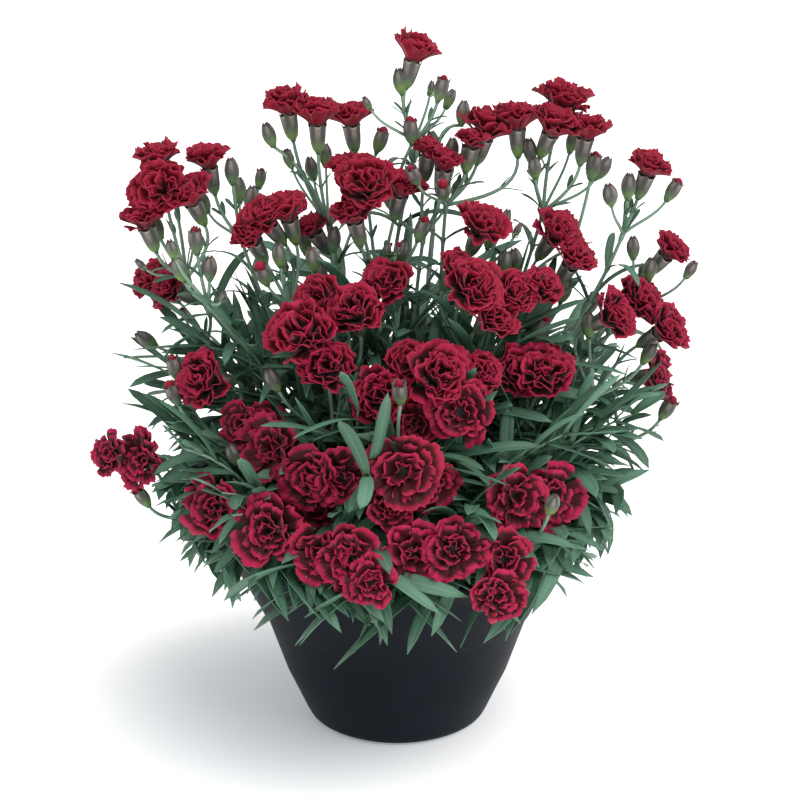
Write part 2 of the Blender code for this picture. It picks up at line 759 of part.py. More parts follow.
def main():
    clear_scene()
    finishes = build_materials()
    build_pot(finishes["pot"])
    build_soil(finishes["soil"])
    blooms, by_stem = all_blooms()
    build_blooms(blooms, finishes["bloom"])
    pieces, stems = grow_stems(by_stem)
    grow_leaves({plant: pieces[plant][0] for plant in PLANTS}, stems)
    for plant in PLANTS:
        node("stems_" + plant, pieces[plant], finishes["green"])


main()
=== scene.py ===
import functools
import json
import math
import random

import bpy
import numpy as np
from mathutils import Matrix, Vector
from mathutils.bvhtree import BVHTree
from mathutils.kdtree import KDTree

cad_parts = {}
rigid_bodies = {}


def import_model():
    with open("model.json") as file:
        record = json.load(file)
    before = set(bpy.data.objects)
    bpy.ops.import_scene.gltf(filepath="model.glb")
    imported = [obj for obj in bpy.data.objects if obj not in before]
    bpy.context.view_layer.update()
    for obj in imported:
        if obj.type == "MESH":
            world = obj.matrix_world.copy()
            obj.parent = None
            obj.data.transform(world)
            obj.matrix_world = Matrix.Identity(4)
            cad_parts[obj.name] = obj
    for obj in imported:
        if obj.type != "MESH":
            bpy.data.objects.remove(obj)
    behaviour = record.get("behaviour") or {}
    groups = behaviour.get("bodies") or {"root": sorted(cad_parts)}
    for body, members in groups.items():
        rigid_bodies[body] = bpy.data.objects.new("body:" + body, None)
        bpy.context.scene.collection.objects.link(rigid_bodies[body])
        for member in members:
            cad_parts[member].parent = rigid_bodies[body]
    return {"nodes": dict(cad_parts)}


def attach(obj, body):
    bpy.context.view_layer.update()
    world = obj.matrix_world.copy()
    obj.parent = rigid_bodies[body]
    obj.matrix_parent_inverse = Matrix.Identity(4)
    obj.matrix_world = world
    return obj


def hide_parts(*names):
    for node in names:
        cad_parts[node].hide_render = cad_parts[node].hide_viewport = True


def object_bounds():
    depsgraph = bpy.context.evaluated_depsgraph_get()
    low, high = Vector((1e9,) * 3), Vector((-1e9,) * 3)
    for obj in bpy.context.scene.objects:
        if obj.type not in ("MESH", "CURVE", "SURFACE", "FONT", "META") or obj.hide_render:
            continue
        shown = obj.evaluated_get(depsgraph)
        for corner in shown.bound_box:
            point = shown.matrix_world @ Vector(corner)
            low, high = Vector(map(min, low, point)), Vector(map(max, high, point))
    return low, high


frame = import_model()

solid_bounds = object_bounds()
MM = 0.001


# The pot is a thin, flared shell of matte black plastic, moulded in one piece. It has a low step in
# its wall, a rolled rim and five drain holes in its base, and it stands on the base's flat ring.

POT_SIDES = 128
POT_OUTSIDE = [  # radius and height in millimetres, from the middle of the base to the top of the rim
    (0, 1.6), (30, 1.6), (58, 1.4), (60.5, 0.2), (63.5, 0), (66.5, 0.2), (70.4, 2.6), (72.7, 7),
    (80, 24), (87.5, 41), (95.7, 66), (103.6, 89.6), (104.4, 91.2), (106.6, 92.4), (107.2, 94),
    (118, 115), (130, 138), (134.6, 149), (136.4, 150.2), (137.6, 151.4), (137.8, 154),
    (137.2, 156.2), (135.4, 157.4), (133.4, 157.2),
]
POT_INSIDE = [  # the same from the rim down to the middle of the floor
    (132.6, 155.4), (131.6, 148), (127.4, 137), (104.8, 95), (101.6, 90), (85.2, 41), (70.3, 9),
    (66.4, 4.4), (0, 4.2),
]
MERGE = 1e-5
SHARP_EDGE = math.radians(35)
DRAIN_HOLES = 5
DRAIN_SIDES = 24
DRAIN_RADIUS = 5 * MM
DRAIN_CIRCLE = 42 * MM
DRAIN_MIDDLE = 2 * MM
DRILL_LENGTH = 12 * MM


def linked(name, data):
    """A new object of the scene that holds this mesh, light or camera."""
    item = bpy.data.objects.new(name, data)
    bpy.context.scene.collection.objects.link(item)
    return item


def pick(piece):
    """Selects one object alone."""
    bpy.ops.object.select_all(action="DESELECT")
    piece.select_set(True)
    bpy.context.view_layer.objects.active = piece


def turned(name, outline, sides):
    """A round piece spun from half of its outline, in millimetres."""
    mesh = bpy.data.meshes.new(name)
    points = [(radius * MM, 0, height * MM) for radius, height in outline]
    mesh.from_pydata(points, [(i, i + 1) for i in range(len(points) - 1)], [])
    piece = linked(name, mesh)
    pick(piece)
    bpy.ops.object.mode_set(mode="EDIT")
    bpy.ops.mesh.select_all(action="SELECT")
    bpy.ops.mesh.spin(steps=sides, angle=math.tau, center=(0, 0, 0), axis=(0, 0, 1))
    bpy.ops.mesh.select_all(action="SELECT")
    bpy.ops.mesh.remove_doubles(threshold=MERGE)
    bpy.ops.mesh.normals_make_consistent(inside=False)
    bpy.ops.object.mode_set(mode="OBJECT")
    return piece


class Wire:
    """A socket in a finish, with its sums written as in Python."""

    def __init__(self, tree, socket=None):
        self.tree = tree
        self.socket = socket

    def make(self, kind, settings=None, inputs=None, output=0):
        """Adds a node with these settings and these values or wires on its sockets."""
        node = self.tree.nodes.new("ShaderNode" + kind)
        for name, value in (settings or {}).items():
            setattr(node, name, value)
        for name, value in (inputs or {}).items():
            if isinstance(value, Wire):
                self.tree.links.new(value.socket, node.inputs[name])
            else:
                node.inputs[name].default_value = value
        return Wire(self.tree, node.outputs[output])

    def sum(self, operation, first, second):
        return self.make("Math", {"operation": operation}, {0: first, 1: second})

    def __add__(self, other):
        return self.sum("ADD", self, other)

    __radd__ = __add__

    def __sub__(self, other):
        return self.sum("SUBTRACT", self, other)

    def __rsub__(self, other):
        return self.sum("SUBTRACT", other, self)

    def __mul__(self, other):
        return self.sum("MULTIPLY", self, other)

    __rmul__ = __mul__

    def step(self, low, high):
        """From 0 at low to 1 at high, eased at both ends."""
        inputs = {"Value": self, "From Min": low, "From Max": high}
        return self.make("MapRange", {"interpolation_type": "SMOOTHSTEP"}, inputs)

    def blend(self, first, second):
        """The first colour where this is 0 and the second where it is 1."""
        return self.make("Mix", {"data_type": "RGBA"}, {0: self, 6: first, 7: second}, 2)

    def noise(self, scale, detail=3, roughness=0.5):
        """Soft noise from 0 to 1, where this vector is the place."""
        inputs = {"Vector": self, "Scale": scale, "Detail": detail, "Roughness": roughness}
        return self.make("TexNoise", None, inputs)

    def stretched(self, *scale):
        """This vector with each of its axes scaled."""
        return self.make("Mapping", None, {"Vector": self, "Scale": scale})

    def axis(self, index):
        """One of the three numbers of this vector."""
        return self.make("SeparateXYZ", None, {0: self}, index)

    def bump(self, strength, distance):
        """The normals that this gives as a height."""
        return self.make("Bump", None, {"Height": self, "Strength": strength, "Distance": distance})

    def objects(self):
        """The place on the piece."""
        return self.make("TexCoord", None, None, 3)

    def mapped(self):
        """The place on the piece's own map: across or round it, and along it."""
        return self.make("UVMap", {"uv_map": "along"})

    def trait(self, name):
        """A number that the mesh carries at each of its points."""
        return self.make("Attribute", {"attribute_name": name}, None, 2)


def colour(code):
    """A linear colour from its six-digit screen code."""
    parts = [int(code[i:i + 2], 16) / 255 for i in (0, 2, 4)]
    return (*[p / 12.92 if p < 0.04045 else ((p + 0.055) / 1.055) ** 2.4 for p in parts], 1)


def finish(name, **constants):
    """A new material, a function that wires its shader's sockets, and a first wire to build on."""
    made = bpy.data.materials.new(name)
    made.use_nodes = True
    shader = made.node_tree.nodes["Principled BSDF"]
    for socket, value in constants.items():
        shader.inputs[socket.replace("_", " ")].default_value = value

    def wire(socket, value):
        made.node_tree.links.new(value.socket, shader.inputs[socket])

    return made, wire, Wire(made.node_tree)


def pot_plastic():
    """Fine-grained black plastic, dusty in patches and paler towards its foot."""
    made, wire, start = finish("pot plastic", Specular_IOR_Level=0.07)
    place = start.objects()
    dust = place.noise(26, 4, 0.6)
    # Paler in random patches of dust, and paler towards the foot over the lowest 50 mm.
    dust_and_pale_foot = dust.step(0.45, 0.8) * 0.4 + place.axis(2).step(0.05, 0.0) * 0.25
    wire("Base Color", dust_and_pale_foot.blend(colour("0d1219"), colour("1a202b")))
    wire("Roughness", dust * 0.2 + 0.42)
    wire("Normal", place.noise(900, 2).bump(0.25, 0.0004))
    return made


def show(piece, finish_made, slot, *nodes):
    """Gives a finished piece its material, hangs it on the root body and hides the solids it stands for.
    """
    piece.data.materials.clear()
    piece.data.materials.append(finish_made)
    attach(piece, "root")
    if nodes:
        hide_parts(*nodes)


pot = turned("flower_pot", POT_OUTSIDE + POT_INSIDE, POT_SIDES)
for i in range(DRAIN_HOLES):
    angle = math.tau * i / DRAIN_HOLES
    centre = (DRAIN_CIRCLE * math.cos(angle), DRAIN_CIRCLE * math.sin(angle), DRAIN_MIDDLE)
    bpy.ops.mesh.primitive_cylinder_add(
        vertices=DRAIN_SIDES, radius=DRAIN_RADIUS, depth=DRILL_LENGTH, location=centre)
    drill = bpy.context.active_object
    pick(pot)
    cut = pot.modifiers.new("drain hole", "BOOLEAN")
    cut.object = drill
    bpy.ops.object.modifier_apply(modifier=cut.name)
    bpy.data.objects.remove(drill)
bpy.ops.object.shade_smooth_by_angle(angle=SHARP_EDGE)
show(pot, pot_plastic(), "pot", "pot")


# The soil is coarse, damp compost: a slightly domed bed of dark crumbs with bits of bark on it. It
# fills the pot to a little under the rim, and nearly all of it lies in the plant's shade.

SOIL_SIDES = 96
SOIL_OUTLINE = [  # radius and height in millimetres, from the pot's floor up and in over the dome
    (0, 4.8), (64, 4.8), (68.3, 9.4), (84.3, 41), (100.8, 90.4), (103.6, 95), (125, 134),
    (124, 136.6), (118, 137.6), (105, 138.4), (90, 139.4), (75, 140.2), (60, 140.9), (45, 141.4),
    (30, 141.8), (15, 142), (0, 142),
]
SOIL_TOP = 142 * MM
SOIL_DOME = 5 * MM
SOIL_EDGE = 123 * MM
SOIL_ROUGH = 138 * MM
CRUMBS = 420
CRUMB_EDGE = 119 * MM
RING_ERROR = 0.1 * MM


def soil_height(x, y):
    """The height of the domed soil at a place."""
    return SOIL_TOP - SOIL_DOME * (math.hypot(x, y) / SOIL_EDGE) ** 2


def ring_and_turn(vertex):
    """Where a point of the bed stands, as whole numbers. Its number in the mesh differs each run."""
    x, y, _ = vertex.co
    turn = round(math.atan2(y, x) / math.tau * 2 * SOIL_SIDES) % (2 * SOIL_SIDES)
    return round(math.hypot(x, y) / RING_ERROR), turn


def compost():
    """Dark, damp lumps with paler specks of bark."""
    made, wire, start = finish("compost")
    place = start.objects()
    lumps = place.noise(160, 5, 0.7)
    specks = place.noise(520, 2)
    dark = lumps.step(0.35, 0.7).blend(colour("1d1511"), colour("4a382a"))
    wire("Base Color", specks.step(0.66, 0.74).blend(dark, colour("7a6650")))
    wire("Roughness", 0.98 - lumps * 0.15)
    wire("Normal", lumps.bump(0.9, 0.002))
    return made


soil = turned("soil_bed", SOIL_OUTLINE, SOIL_SIDES)
bpy.ops.object.mode_set(mode="EDIT")
bpy.ops.mesh.select_all(action="SELECT")
bpy.ops.mesh.subdivide(number_cuts=1)
bpy.ops.object.mode_set(mode="OBJECT")
draw = random.Random("soil")
for vertex in sorted(soil.data.vertices, key=ring_and_turn):
    if vertex.co.z > SOIL_ROUGH:
        vertex.co.z += draw.uniform(-1.2, 0.6) * MM
crumbs = []
for i in range(CRUMBS):
    angle = draw.uniform(0, math.tau)
    reach = CRUMB_EDGE * math.sqrt(draw.uniform(0, 1))
    x, y = reach * math.cos(angle), reach * math.sin(angle)
    size = draw.uniform(1.0, 2.8) * MM
    place = x, y, soil_height(x, y)
    bpy.ops.mesh.primitive_ico_sphere_add(subdivisions=1, radius=size, location=place)
    crumb = bpy.context.active_object
    crumb.scale = (draw.uniform(0.6, 1.8), draw.uniform(0.6, 1.3), draw.uniform(0.4, 0.8))
    crumb.rotation_euler = [draw.uniform(-0.6, 0.6), draw.uniform(-0.6, 0.6), draw.uniform(0, math.tau)]
    crumbs.append(crumb)
pick(soil)
for crumb in crumbs:
    crumb.select_set(True)
bpy.ops.object.transform_apply(location=True, rotation=True, scale=True)
bpy.ops.object.join()
show(soil, compost(), "soil", "soil")


# The plants: nineteen young pinks, each with one woody crown in the soil and one or two flowering
# stems. Where everything grows follows the same seeded rule as the solids, and each try of the rule
# is held against the corners of the solids, so that every piece here lies on its own solid.

PLANTS = {  # the crown's place, then each stem's blooms (middle, radius) and buds (middle), in mm
    "centre": ((10, 18), [
        ([(13, 20, 510, 17)], [(2, 18, 490), (32, 20, 484)]),
        ([(23, 10, 441, 11), (40, -8, 430, 13)], [(10, 10, 455)]),
    ]),
    "left_middle": ((-32, -12), [
        ([(-105, -20, 384, 14), (-94, -16, 397, 17), (-77, -12, 401, 16)], [(-84, -34, 374)]),
        ([(-63, 12, 383, 12)], [(-46, 0, 378), (-60, -32, 370)]),
    ]),
    "upper_left": ((-26, 20), [
        ([(-80, 20, 472, 16), (-53, 12, 464, 17), (-28, 20, 462, 14)], [(-93, 14, 452), (-12, 24, 446)]),
        ([(-38, 0, 430, 12), (-8, -30, 409, 21), (12, 4, 415, 16), (-36, -24, 391, 15)],
         [(18, -14, 388)]),
    ]),
    "left_high": ((-58, 6), [
        ([(-173, 4, 436, 16), (-167, -22, 406, 20), (-148, -8, 411, 17), (-190, -22, 381, 15)],
         [(-186, 2, 414)]),
        ([(-138, 14, 433, 15)], [(-120, 8, 426), (-106, 2, 407)]),
    ]),
    "left_back": ((-62, 36), [
        ([(-186, 54, 332, 17), (-168, 26, 334, 17)], []),
        ([], [(-143, -34, 384), (-155, -38, 364), (-133, -40, 366)]),
    ]),
    "upper_right": ((38, 26), [
        ([(66, 22, 454, 18), (90, 20, 462, 17), (50, -4, 447, 11)], [(48, 26, 466), (40, 14, 441)]),
        ([(61, -22, 391, 18)], []),
    ]),
    "right_high": ((62, 34), [
        ([(122, 34, 472, 19), (113, 8, 458, 18), (140, 16, 454, 15)], [(97, 18, 440)]),
        ([(116, 0, 382, 18), (131, -20, 362, 15)], [(144, 22, 427), (86, -10, 364)]),
    ]),
    "right_side": ((80, 8), [
        ([(183, 6, 429, 14)], [(168, 2, 416)]),
        ([(202, 12, 366, 14)], [(187, 8, 353)]),
    ]),
    "right_low": ((78, -20), [
        ([(156, -30, 328, 18), (181, -4, 332, 20), (199, -22, 312, 18)],
         [(140, -20, 318), (186, -16, 296)]),
        ([(197, 4, 271, 16)], [(202, -10, 250)]),
    ]),
    "middle": ((30, -20), [
        ([(53, -60, 356, 22), (38, -32, 370, 13), (70, -62, 334, 17), (87, -44, 353, 15),
          (110, -32, 350, 15)],
         [(78, -20, 364)]),
        ([(-7, -30, 352, 17)], []),
    ]),
    "middle_left": ((-30, -46), [
        ([(-54, -50, 344, 17), (-28, -60, 338, 21), (-69, -82, 320, 25), (-38, -86, 292, 18)],
         [(-88, -70, 292)]),
    ]),
    "left_low": ((-66, -26), [
        ([(-138, -42, 283, 22)], [(-163, -40, 272), (-162, -30, 288)]),
        ([(-114, -62, 256, 14), (-87, -64, 254, 15), (-89, -112, 238, 23)], [(-118, -70, 236)]),
    ]),
    "left_edge": ((-86, -44), [
        ([(-217, -22, 219, 15), (-188, -32, 217, 20)], [(-190, -36, 190)]),
        ([(-133, -92, 204, 21)], []),
    ]),
    "front_left": ((-52, -72), [
        ([(-90, -132, 202, 23)], []),
        ([(-53, -150, 192, 19), (-31, -158, 192, 20), (-16, -168, 178, 16)], []),
    ]),
    "front_middle": ((-12, -66), [
        ([(-62, -112, 232, 21), (-36, -118, 234, 19), (-57, -104, 206, 16)], []),
        ([(4, -140, 248, 23), (31, -122, 232, 17), (-4, -140, 222, 16)], []),
    ]),
    "front_right": ((36, -74), [
        ([(13, -152, 193, 21), (41, -156, 198, 19)], []),
        ([(74, -152, 188, 19), (69, -166, 166, 17)], []),
    ]),
    "right_front": ((68, -58), [
        ([(84, -122, 222, 21), (126, -92, 213, 22)], [(106, -142, 226)]),
        ([(85, -50, 290, 18), (114, -60, 294, 22)], []),
    ]),
    "middle_front": ((10, -40), [
        ([(9, -70, 303, 16), (33, -90, 298, 23), (64, -72, 298, 15), (-14, -84, 280, 21),
          (46, -104, 277, 21), (14, -96, 266, 15)],
         [(2, -118, 298)]),
    ]),
    "back": ((4, 66), [
        ([(-92, 120, 262, 18), (-58, 138, 250, 20)], []),
        ([(20, 140, 262, 20), (52, 132, 250, 18)], []),
        ([(112, 104, 262, 18)], [(92, 118, 262)]),
    ]),
}
TRIES = 60
FORK_TRIES = 16
GAP = 0.3 * MM
CORNER_ERROR = 0.02 * MM

corners = KDTree(sum(len(item.data.vertices) for item in frame["nodes"].values()))
corner_nodes = []
for node_name, item in frame["nodes"].items():
    for vertex in item.data.vertices:
        corners.insert(vertex.co, len(corner_nodes))
        corner_nodes.append(node_name)
corners.balance()


def node_at(points, least):
    """The solid on which at least so many of these points are corners, or nothing."""
    found = [corners.find(point) for point in points]
    names = [corner_nodes[index] for _, index, distance in found if distance < CORNER_ERROR]
    if len(names) < least:
        return None
    return max(names, key=names.count)


def crown_foot(plant):
    """Where a plant's crown comes out of the soil."""
    x, y = [value * MM for value in PLANTS[plant][0]]
    return Vector((x, y, soil_height(x, y)))


# Blooms: double pinks, deep velvety crimson with darker hearts and a brighter, toothed edge to each
# petal: a pinker margin, with a painted highlight along its very edge. Twenty-eight ruffled petals
# stand in whorls on each calyx, and twenty on one that is wide open. The low ones in front are
# flatter and wider open, with pinker edges.

PETALS = 5
PRESS = 2
CALYX_MOUTH = 5.6 * MM
MOUTH_BELOW = 0.45
FACE_UP_HEIGHT = 430 * MM
FACE_OUT_HEIGHT = 260 * MM
LEAN_UP = 15
LEAN_OUT = 58
FACING_STRAY = 8
FRONT_EDGE = 60 * MM
TO_LIGHT = (0, -0.8, 0)
PETAL_THICK = 0.35 * MM
TOP_BLOOMS = 430 * MM
LOW_BLOOMS = 200 * MM
TOP_FULLER = 0.12
WIDE_OPEN = 0.6
WHORLS = [  # petals, length, slope from the axis at the foot and at the edge, width, all for radius 1
    (6, 1.12, 36, 68, 1.12),
    (6, 1.16, 28, 56, 1.04),
    (6, 1.17, 20, 45, 0.94),
    (5, 1.16, 11, 34, 0.84),
    (5, 1.12, 3, 21, 0.66),
]
OPEN_WHORLS = [  # the same for a bloom that is wide open
    (6, 1.12, 46, 92, 1.12),
    (5, 0.94, 34, 80, 1.0),
    (5, 0.74, 22, 62, 0.8),
    (4, 0.56, 8, 38, 0.56),
]
PETAL_GRIDS = [(5, 12), (5, 11), (5, 10), (4, 9), (4, 7)]  # rows and columns of points, by whorl
CALYX_ROOM = 4.4 * MM  # how far from the middle the outer petals leave the calyx
TOOTH_DEPTH = 0.04
NOTCH_DEPTH = 0.09
NOTCH_WIDTH = 0.22
CLAW_WIDTH = 0.22


def share_between(value, start, end):
    """How far a value lies from start to end: 0 before the start and 1 past the end."""
    return max(0, min(1, (value - start) / (end - start)))


def crossing(axis):
    """Two directions that are square to an axis and to each other."""
    across = axis.orthogonal().normalized()
    return across, axis.cross(across)


def ray_at(across, along, angle):
    """The direction that lies at an angle between two that are square to each other."""
    return across * math.cos(angle) + along * math.sin(angle)


def facing(middle, stray, draw):
    """Which way a bloom looks: up at the top of the plant, outwards and to the light lower down."""
    height = share_between(middle.z, FACE_UP_HEIGHT, FACE_OUT_HEIGHT)
    lean = math.radians(LEAN_UP + LEAN_OUT * height + draw.uniform(-stray, stray))
    outward = Vector((middle.x, middle.y, 0)).normalized()
    if middle.y < FRONT_EDGE:
        outward = (outward + Vector(TO_LIGHT)).normalized()
    azimuth = math.atan2(outward.y, outward.x) + math.radians(draw.uniform(-stray, stray))
    flat = math.sin(lean)
    return Vector((math.cos(azimuth) * flat, math.sin(azimuth) * flat, math.cos(lean)))


def bloom_solid(mouth, axis, radius, draw):
    """The corners and faces of a bloom's plain solid."""
    across, along = crossing(axis)
    spin = draw.uniform(0, math.tau)

    def ring(tip, notch, rise, dip, turn):
        count = PETALS * (1 if notch is None else 2)
        found = []
        for i in range(count):
            is_tip = notch is None or i % 2 == 0
            size = (tip if is_tip else notch) * draw.uniform(0.93, 1.05)
            height = (rise if is_tip else dip) * draw.uniform(0.9, 1.1)
            ray = ray_at(across, along, spin + math.tau * (i + turn) / count)
            found.append(mouth + ray * size + axis * height)
        return found

    cone = [p - axis * (p - mouth).dot(axis) for p in ring(CALYX_MOUTH * 0.95, None, 0, 0, 0)]
    outer = ring(radius * 1.1, radius * 0.9, radius * 0.5, radius * 0.38, 0)
    valley = ring(radius * 0.5, None, radius * 0.5, 0, 0)
    inner = ring(radius * 0.78, radius * 0.58, radius * 0.85, radius * 0.76, 1)
    heart = mouth + axis * radius * 0.66
    points = [*cone, *outer, *valley, *inner, heart]
    first, low, root, high, last = 0, PETALS, PETALS * 3, PETALS * 4, PETALS * 6
    faces = [tuple(reversed(range(PETALS)))]
    for i in range(PETALS):
        j = (i + 1) % PETALS
        before, tip, after = [low + (2 * i + k) % (2 * PETALS) for k in (-1, 0, 1)]
        faces += [(first + i, tip, before), (first + i, after, tip), (first + i, first + j, after)]
        faces += [(root + i, before, tip), (root + i, tip, after), (root + i, after, root + j)]
        tip, notch, next_tip = [high + (2 * i + k) % (2 * PETALS) for k in (0, 1, 2)]
        faces += [(root + i, root + j, tip), (root + j, notch, tip), (root + j, next_tip, notch)]
        faces += [(tip, notch, last), (notch, next_tip, last)]
    return points, faces


def tried_bloom(seed, middle, radius, attempt):
    """A bloom as one try of the seeded rule makes it."""
    draw = random.Random(f"{seed} {attempt}")
    axis = facing(middle, FACING_STRAY + attempt * 0.8, draw)
    mouth = middle - axis * radius * MOUTH_BELOW
    points, faces = bloom_solid(mouth, axis, radius, draw)
    return {
        "middle": middle, "mouth": mouth, "axis": axis, "radius": radius, "seed": seed,
        "points": points, "tree": BVHTree.FromPolygons(points, faces),
    }


def drawn_in(seed, middle, radius, attempt, others):
    """A bloom moved towards the nearest one of its stem until their petals press together."""
    item = tried_bloom(seed, middle, radius, attempt)
    if not others:
        return item
    near = min((other["middle"] for other in others), key=lambda m: (m - middle).length)
    step = (near - middle).normalized() * MM
    while not any(item["tree"].overlap(other["tree"]) for other in others):
        middle = middle + step
        item = tried_bloom(seed, middle, radius, attempt)
    return tried_bloom(seed, middle + step * PRESS, radius, attempt)


def find_blooms():
    """Every bloom by its stem, each with the solid that it belongs to."""
    by_stem = {}
    for plant, (_, stems) in PLANTS.items():
        for s, (blooms, _) in enumerate(stems):
            others = by_stem[plant, s] = []
            for b, (x, y, z, radius) in enumerate(blooms):
                seed = f"{plant} {s} bloom {b}"
                for attempt in range(TRIES):
                    item = drawn_in(seed, Vector((x, y, z)) * MM, radius * MM, attempt, others)
                    item["node"] = node_at(item["points"], 4)
                    if item["node"]:
                        others.append(item)
                        break
    return by_stem


class Bunch:
    """Many small bodies laid into one mesh, with a map along each and the traits that colour them."""

    def __init__(self):
        self.points, self.faces, self.maps, self.traits = [], [], [], []
        self.count = 0

    def add(self, points, faces, mapped, *traits):
        """Lays one body in. Its faces are an array, or a list where some have three corners."""
        if isinstance(faces, np.ndarray):
            self.faces += (faces + self.count).tolist()
        else:
            self.faces += [tuple(corner + self.count for corner in face) for face in faces]
        self.points.append(points)
        self.maps.append(mapped)
        self.traits.append(np.broadcast_to(traits, (len(points), len(traits))))
        self.count += len(points)

    def piece(self, name, *names):
        """The bunch as one object. The names are those of its traits."""
        mesh = bpy.data.meshes.new(name)
        mesh.from_pydata(np.concatenate(self.points).tolist(), [], self.faces)
        loops = np.empty(len(mesh.loops), np.int32)
        mesh.loops.foreach_get("vertex_index", loops)
        layer = mesh.uv_layers.new(name="along")
        layer.data.foreach_set("uv", np.concatenate(self.maps)[loops].astype(np.float32).ravel())
        values = np.concatenate(self.traits)
        for i, trait in enumerate(names):
            made = mesh.attributes.new(trait, "FLOAT", "POINT")
            made.data.foreach_set("value", values[:, i].astype(np.float32))
        mesh.shade_smooth()
        return linked(name, mesh)


def unit(vectors):
    """Vectors at length 1."""
    return vectors / np.maximum(np.linalg.norm(vectors, axis=-1, keepdims=True), 1e-12)


def map_of(across, along):
    """The place on the map of each point of a sheet or tube."""
    return np.stack(np.broadcast_arrays(across, along), -1).reshape(-1, 2)


@functools.cache
def blade_faces(rows, columns):
    """Faces of a closed blade: its upper side, its lower side and its rim."""
    index = np.arange(rows * columns).reshape(rows, columns)
    under = rows * columns
    upper = np.stack([index[:-1, :-1], index[:-1, 1:], index[1:, 1:], index[1:, :-1]], -1).reshape(-1, 4)
    edge = np.concatenate([index[0, :-1], index[:-1, -1], index[-1, :0:-1], index[:0:-1, 0]])
    after = np.roll(edge, -1)
    rim = np.stack([after, edge, edge + under, after + under], -1)
    return np.concatenate([upper, upper[:, ::-1] + under, rim])


def blade(sheet, thickness, along):
    """A sheet of points (rows, columns, 3) made a thin closed body, with how far along each row is."""
    rows, columns, _ = sheet.shape
    normal = unit(np.cross(np.gradient(sheet, axis=1), np.gradient(sheet, axis=0)))
    half = normal * thickness / 2
    points = np.concatenate([(sheet + half).reshape(-1, 3), (sheet - half).reshape(-1, 3)])
    mapped = map_of(np.linspace(0, 1, columns), along[:, None])
    return points, blade_faces(rows, columns), np.concatenate([mapped, mapped])


def petal(base, azimuth, root, length, foot, edge, width, ruffle, folds, draw, grid):
    """One ruffled, toothed petal of a bloom: a sheet that bends outwards from the calyx."""
    rows, columns = grid
    u = np.linspace(-1, 1, columns)
    v = np.linspace(0, 1, rows)[:, None] ** 0.85
    teeth = np.array([draw.uniform(0, TOOTH_DEPTH) * (1 if i % 2 else -1) for i in range(columns)])
    notch = draw.uniform(0, NOTCH_DEPTH) * np.exp(-((u - draw.uniform(-0.4, 0.4)) / NOTCH_WIDTH) ** 2)
    outline = 1 - 0.22 * np.abs(u) ** 2.6 + teeth - notch
    reach = v * (1 + (outline - 1) * v ** 1.5)
    slope = foot + (edge - foot) * reach
    out = root + length * (math.cos(foot) - np.cos(slope)) / (edge - foot)
    rise = length * (np.sin(slope) - math.sin(foot)) / (edge - foot)
    spread = np.clip((reach - 0.08) / 0.74, 0, 1)
    half = width / 2 * (CLAW_WIDTH + (1 - CLAW_WIDTH) * spread * spread * (3 - 2 * spread))
    bent = draw.uniform(-0.25, 0.25) * length * reach ** 2
    side = half * u * (1 - 0.12 * reach * np.abs(u)) + bent
    broad_folds = np.sin(math.pi * folds * u + draw.uniform(0, math.tau))
    fine_folds = np.sin(math.pi * folds * 2.3 * u + draw.uniform(0, math.tau))
    cup = draw.uniform(0.05, 0.5) * half * u ** 2
    curl = draw.uniform(-0.1, 0.16) * length * np.clip(reach - 0.6, 0, 1) ** 2 * 4
    lift = ruffle * (broad_folds + 0.45 * fine_folds) * reach ** 1.6 + cup + curl
    outward = (out - np.cos(slope) * lift)[..., None]
    upward = (rise + np.sin(slope) * lift)[..., None]
    mouth, axis, across, along = base
    ray = ray_at(across, along, azimuth)
    sheet = mouth + outward * ray + side[..., None] * np.cross(axis, ray) + upward * axis
    return blade(sheet, PETAL_THICK, v[:, 0])


def dress_bloom(bunch, item):
    """All petals of one bloom, whorl by whorl."""
    draw = random.Random(item["seed"] + " petals")
    radius = item["radius"]
    axis = np.array(item["axis"])
    across = np.array(crossing(item["axis"])[0])
    base = np.array(item["mouth"]), axis, across, np.cross(axis, across)
    low = share_between(item["middle"].z, TOP_BLOOMS, LOW_BLOOMS)
    opened = min(1, low * draw.uniform(0.8, 1.12))
    shade = draw.uniform(0, 1)
    full = radius * (1 + TOP_FULLER * (1 - low))
    whorls = OPEN_WHORLS if opened > WIDE_OPEN else WHORLS
    for w, (count, length, foot, edge, width) in enumerate(whorls):
        spin = draw.uniform(0, math.tau)
        root = min(CALYX_ROOM, radius * 0.24) * (1 - w / len(WHORLS))
        for p in range(count):
            azimuth = spin + math.tau * (p + draw.uniform(-0.3, 0.3)) / count
            long = full * length * draw.uniform(0.84, 1.06)
            first = math.radians(foot + draw.uniform(-5, 6))
            last = math.radians(edge + draw.uniform(-18, 14))
            ruffle = radius * draw.uniform(0.06, 0.17)
            folds = draw.uniform(0.9, 2.2)
            wide = full * width * draw.uniform(0.8, 1.15)
            bends = root, long, first, last, wide, ruffle, folds
            made = petal(base, azimuth, *bends, draw, PETAL_GRIDS[w])
            bunch.add(*made, draw.uniform(0, 1), opened, shade)


